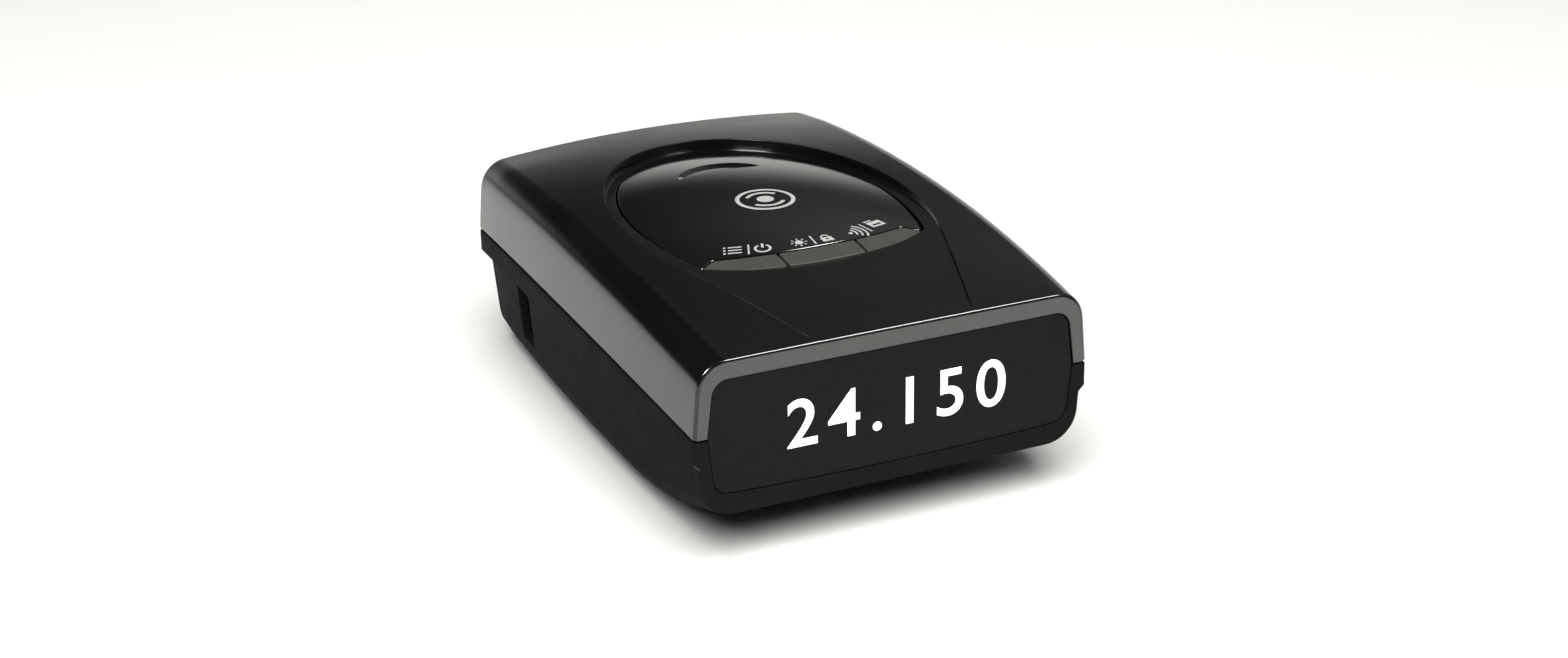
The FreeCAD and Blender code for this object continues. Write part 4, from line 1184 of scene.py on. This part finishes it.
def silver_print(name):
    return finish(name, grey(0.55), grey(0.64), (0.36, 0.5), [(0.3, 4), (0.5, 3), (0.1, 2)], 0.0008,
                  IOR=1.5, Metallic=0.3)


def plain(name, colour, rough=0.5, metallic=0.0, grain=0.4, relief=0.003):
    """A moulded, cast or plated finish."""
    low = tuple(c * 0.88 for c in colour)
    high = tuple(min(1, c * 1.12) for c in colour)
    grains = [(grain * 12, 4), (grain * 4, 4), (grain, 3)]
    return finish(name, low, high, (rough - 0.06, rough + 0.06), grains, relief, IOR=1.5, Metallic=metallic)


def glow(name):
    nodes = Nodes(name, IOR=1.5)
    nodes.colours(nodes.noise(0.6), (0.3, grey(0.85)), (0.7, grey(0.95)))
    nodes.shader.inputs["Emission Color"].default_value = (1, 1, 1, 1)
    nodes.shader.inputs["Emission Strength"].default_value = 0.9
    nodes.feed("Roughness", nodes.remap(nodes.noise(0.8), 0.4, 0.5))
    return nodes.material


def brushed(name, colour, rough=0.3):
    nodes = Nodes(name, Metallic=1.0)
    stretch = nodes.add("ShaderNodeMapping", {"Vector": nodes.where})
    stretch.inputs["Scale"].default_value = (400, 9000, 9000)
    grain = nodes.add("ShaderNodeTexNoise", {"Vector": stretch.outputs["Vector"]}, Scale=1.0, Detail=4.0)
    low = tuple(c * 0.8 for c in colour)
    nodes.colours(grain.outputs["Fac"], (0.3, low), (0.7, colour))
    nodes.feed("Roughness", nodes.remap(grain.outputs["Fac"], rough - 0.08, rough + 0.1))
    nodes.bump(grain.outputs["Fac"], 0.002)
    return nodes.material


def board_material(name):
    nodes = Nodes(name, IOR=1.5)
    cells = nodes.add("ShaderNodeTexVoronoi", {"Vector": nodes.where}, Scale=700.0)
    cells.feature = "DISTANCE_TO_EDGE"
    nodes.colours(cells.outputs["Distance"], (0.03, (0.02, 0.13, 0.06)), (0.09, (0.012, 0.07, 0.032)))
    nodes.feed("Roughness", nodes.remap(nodes.noise(2, 3), 0.3, 0.42))
    nodes.bump(cells.outputs["Distance"], 0.01)
    return nodes.material


def ride(piece, body, slot, *replaced):
    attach(piece, body)
    if replaced:
        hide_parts(*replaced)
    return piece


def paint(piece, material, wanted):
    """Gives a second material to the faces that wanted(centre, normal) picks."""
    piece.data.materials.append(material)
    for face in piece.data.polygons:
        if wanted(face.center / MM, face.normal):
            face.material_index = 1
    return piece


def on_front(centre, normal):
    """Picks the flat front of the cover, round the window. These faces get a lighter grey as a painted
    reflection.
    """
    return normal.y < 0.5 and centre.y < FRONT + 0.005


def on_flange_bevel(centre, normal):
    """Picks the bevel under the case's flange. These faces get a lighter grey as a painted highlight line.
    """
    middle = parting(centre.y - FRONT) - FLANGE_HEIGHT + FLANGE_BEVEL / 2
    return normal.z < -0.4 and abs(centre.z - middle) < FLANGE_BEVEL * 0.7


# The cover's flat front gets a lighter satin grey that stands in for a reflection of the floor: painted
# reflection on gloss black.
cover = paint(make_cover(gloss_black("gloss_black", 1.58, 0.17)),
              satin_black("front_frame_painted_reflection", 0.038, 0.3, 1.7, 0.0005), on_front)
ride(cover, "housing", "cover", "top_cover")
# The bevel under the flange gets a lighter satin grey that stands in for the floor's reflection: a painted
# highlight line.
case = paint(make_case(satin_black("satin_black", 0.012, 0.45, 1.04)),
             satin_black("satin_painted_highlight", 0.04, 0.35, 1.6), on_flange_bevel)
ride(case, "housing", "case", "bottom_case")
cap = make_cap(gloss_black("cap_gloss_black", 1.8, 0.1, 0.6))
ride(cap, "housing", "cap", "control_cap")
ride(make_window(smoked("smoked_window")), "housing", "window", "display_window")
lacquer = key_lacquer("key_lacquer")
for name, place in (("menu_key", -1), ("dim_key", 0), ("mute_key", 1)):
    ride(make_key(f"{name}_top", place, lacquer), f"{name}_body", "key", name)
ride(decal("cap_print", silver_print("silver_print"), cap_prints()), "housing", "cap")

# ---- display digits

DIGITS = "24.150"
DIGITS_CENTRE = (0.6, 21.6)
DIGIT_RELIEF = 0.03


def make_digits():
    """A lit number that stands a little proud of the window."""
    curve = bpy.data.curves.new("digits", "FONT")
    curve.body = DIGITS
    curve.size = 12.0
    curve.offset = 0.12
    curve.extrude = DIGIT_RELIEF
    curve.resolution_u = 8
    curve.space_character = 1.27
    text = bpy.data.objects.new("digits_text", curve)
    work = bmesh.new()
    work.from_mesh(bpy.data.meshes.new_from_object(text))
    bpy.data.objects.remove(text)
    bmesh.ops.remove_doubles(work, verts=work.verts, dist=1e-3)
    points = np.array([tuple(v.co) for v in work.verts])
    faces = [[v.index for v in face.verts] for face in work.faces]
    work.free()
    points -= (points.min(0) + points.max(0)) / 2
    x, z, relief = points.T
    middle_x, middle_z = DIGITS_CENTRE
    place = np.column_stack([x + middle_x, FRONT + WINDOW_RECESS - relief, z + middle_z])
    return new_mesh("display_digits", place, faces, glow("display_glow"))


ride(make_digits(), "housing", "window")

# ---- CAD nodes that stay

SLOT_LOOKS = {
    "panel_frame": (plain, grey(0.3), 0.4, 0.8),
    "panel_glass": (plain, grey(0.01), 0.12),
    "circuit_board": (board_material,),
    "flat_cable": (plain, (0.5, 0.22, 0.04), 0.35),
    "membrane": (plain, grey(0.35), 0.6),
    "screw": (brushed, (0.6, 0.6, 0.62)),
    "black_screw": (brushed, (0.05, 0.05, 0.055), 0.35),
    "switch": (plain, grey(0.05), 0.45),
    "connector": (plain, (0.75, 0.7, 0.58), 0.45),
    "tinned_steel": (brushed, (0.7, 0.7, 0.7), 0.28),
    "capacitor": (brushed, (0.55, 0.55, 0.57), 0.3),
    "casting": (plain, grey(0.5), 0.45, 0.9, 0.5, 0.012),
    "ceramic": (plain, (0.7, 0.66, 0.54), 0.5),
    "laser_filter": (plain, (0.035, 0.003, 0.006), 0.08, 0, 0.4, 0.0004),
    "sensor": (plain, grey(0.03), 0.4),
    "speaker_frame": (plain, grey(0.3), 0.4, 0.8),
    "foam": (plain, grey(0.03), 0.9, 0, 0.3, 0.05),
    "socket": (plain, grey(0.02), 0.4),
    "guide": (plain, grey(0.02), 0.45),
    "foot_rubber": (plain, grey(0.022), 0.75, 0, 0.25, 0.02),
    "label_film": (brushed, (0.55, 0.55, 0.53), 0.4),
}
looks = {slot: make(slot, *settings) for slot, (make, *settings) in SLOT_LOOKS.items()}
for row in frame["record"]["subparts"]:
    node = frame["nodes"].get(row["node"])
    if node and row["material_slot"] in looks:
        for material_slot in node.material_slots:
            material_slot.material = looks[row["material_slot"]]

# ---- floor, light and camera

YAW = math.radians(24.272)
ELEVATION = math.radians(23.458)
ROLL = math.radians(-0.77)
DISTANCE = 457.865
TARGET = Vector((-1.943, -14.2, 19.823))
LENS = 59.37

# Name, azimuth, elevation and watts. The soft lights light the floor and the body, and don't mirror in
# the gloss; the edge lights only mirror in the rounded edges.
SOFT_LIGHTS = (("overhead_rear", 160, 78, 3.5), ("overhead_front", -25, 62, 12.5))
EDGE_LIGHTS = (("left_corner", -68, 44, 22), ("front_edge", 43, 57, 12))
WARM = (1.0, 0.985, 0.955)
GLOW_HEIGHT = 0.178
GLOW = 0.74
ROOM_LEFT = 0.02
ROOM_RIGHT = 0.2


def make_camera():
    data = bpy.data.cameras.new("camera")
    data.lens = LENS
    data.sensor_width = 36
    data.clip_start = 0.01
    data.clip_end = 50
    camera = bpy.data.objects.new("camera", data)
    bpy.context.scene.collection.objects.link(camera)
    back = Vector((-math.sin(YAW) * math.cos(ELEVATION), -math.cos(YAW) * math.cos(ELEVATION),
                   math.sin(ELEVATION)))
    right = (-back).cross(Vector((0, 0, 1))).normalized()
    up = right.cross(-back)
    across = right * math.cos(ROLL) + up * math.sin(ROLL)
    above = up * math.cos(ROLL) - right * math.sin(ROLL)
    camera.matrix_world = Matrix.Translation((TARGET + back * DISTANCE) * MM) @ Matrix(
        (across, above, back)).transposed().to_4x4()
    bpy.context.scene.camera = camera


def make_floor():
    size = 8.0
    mesh = bpy.data.meshes.new("floor")
    mesh.from_pydata([(-size, -size, 0), (size, -size, 0), (size, size, 0), (-size, size, 0)], [],
                     [(0, 1, 2, 3)])
    nodes = Nodes("floor_white")
    nodes.colours(nodes.noise(400), (0.3, grey(0.88)), (0.7, grey(0.9)))
    nodes.feed("Roughness", nodes.remap(nodes.noise(80), 0.8, 0.9))
    mesh.materials.append(nodes.material)
    floor = bpy.data.objects.new("floor", mesh)
    bpy.context.scene.collection.objects.link(floor)


def add_light(name, azimuth, elevation, distance, width, height, power, tone=(1, 1, 1)):
    """A soft rectangle that faces the object. Azimuth 0 is behind the display's viewer and 90 is to
    the right of the display."""
    data = bpy.data.lights.new(name, "AREA")
    data.shape = "RECTANGLE"
    data.size = width
    data.size_y = height
    data.energy = power
    data.color = tone
    light = bpy.data.objects.new(name, data)
    bpy.context.scene.collection.objects.link(light)
    a, e = math.radians(azimuth), math.radians(elevation)
    place = Vector((math.sin(a) * math.cos(e), -math.cos(a) * math.cos(e), math.sin(e))) * distance
    light.location = place
    light.rotation_euler = (-place).to_track_quat("-Z", "Y").to_euler()
    return light


def make_world():
    """A dim room with a soft glow along the horizon, darker on the left."""
    world = bpy.data.worlds.new("studio")
    world.use_nodes = True
    tree = world.node_tree
    background = tree.nodes["Background"]

    def node(kind, *sources, **settings):
        made = tree.nodes.new(kind)
        for key, value in settings.items():
            setattr(made, key, value)
        for socket, source in zip(made.inputs, sources):
            if isinstance(source, (int, float)):
                socket.default_value = source
            else:
                tree.links.new(source, socket)
        return made.outputs[0]

    def ramp(value, start, end, low, high):
        made = tree.nodes.new("ShaderNodeMapRange")
        made.interpolation_type = "SMOOTHSTEP"
        tree.links.new(value, made.inputs["Value"])
        for key, number in (("From Min", start), ("From Max", end), ("To Min", low), ("To Max", high)):
            made.inputs[key].default_value = number
        return made.outputs["Result"]

    split = tree.nodes.new("ShaderNodeSeparateXYZ")
    tree.links.new(tree.nodes.new("ShaderNodeTexCoord").outputs["Generated"], split.inputs[0])
    x, y, z = split.outputs
    fall = node("ShaderNodeMath", z, operation="ABSOLUTE")
    fall = node("ShaderNodeMath", fall, GLOW_HEIGHT, operation="DIVIDE")
    fall = node("ShaderNodeMath", fall, 4.0, operation="POWER")
    fall = node("ShaderNodeMath", fall, -1.0, operation="MULTIPLY")
    fall = node("ShaderNodeMath", fall, operation="EXPONENT")
    glow = node("ShaderNodeMath", fall, ramp(x, -0.57, -0.2, 0.02, GLOW), operation="MULTIPLY")
    glow = node("ShaderNodeMath", glow, ramp(y, -0.1, 0.4, 0.1, 1.0), operation="MULTIPLY")
    room = ramp(x, 0.15, 0.62, ROOM_LEFT, ROOM_RIGHT)
    room = node("ShaderNodeMath", room, ramp(z, 0.22, 0.5, 0.3, 1.0), operation="MULTIPLY")
    total = node("ShaderNodeMath", glow, room, operation="ADD")
    tree.links.new(total, background.inputs["Strength"])
    background.inputs["Color"].default_value = (1.0, 0.985, 0.95, 1)
    bpy.context.scene.world = world


make_camera()
make_floor()
for name, azimuth, elevation, power in SOFT_LIGHTS:
    add_light(name, azimuth, elevation, 0.9, 0.9, 0.9, power, WARM).visible_glossy = False
for name, azimuth, elevation, power in EDGE_LIGHTS:
    add_light(name, azimuth, elevation, 1.2, 0.45, 0.3, power).visible_diffuse = False
make_world()
bpy.context.scene.view_settings.view_transform = "Standard"
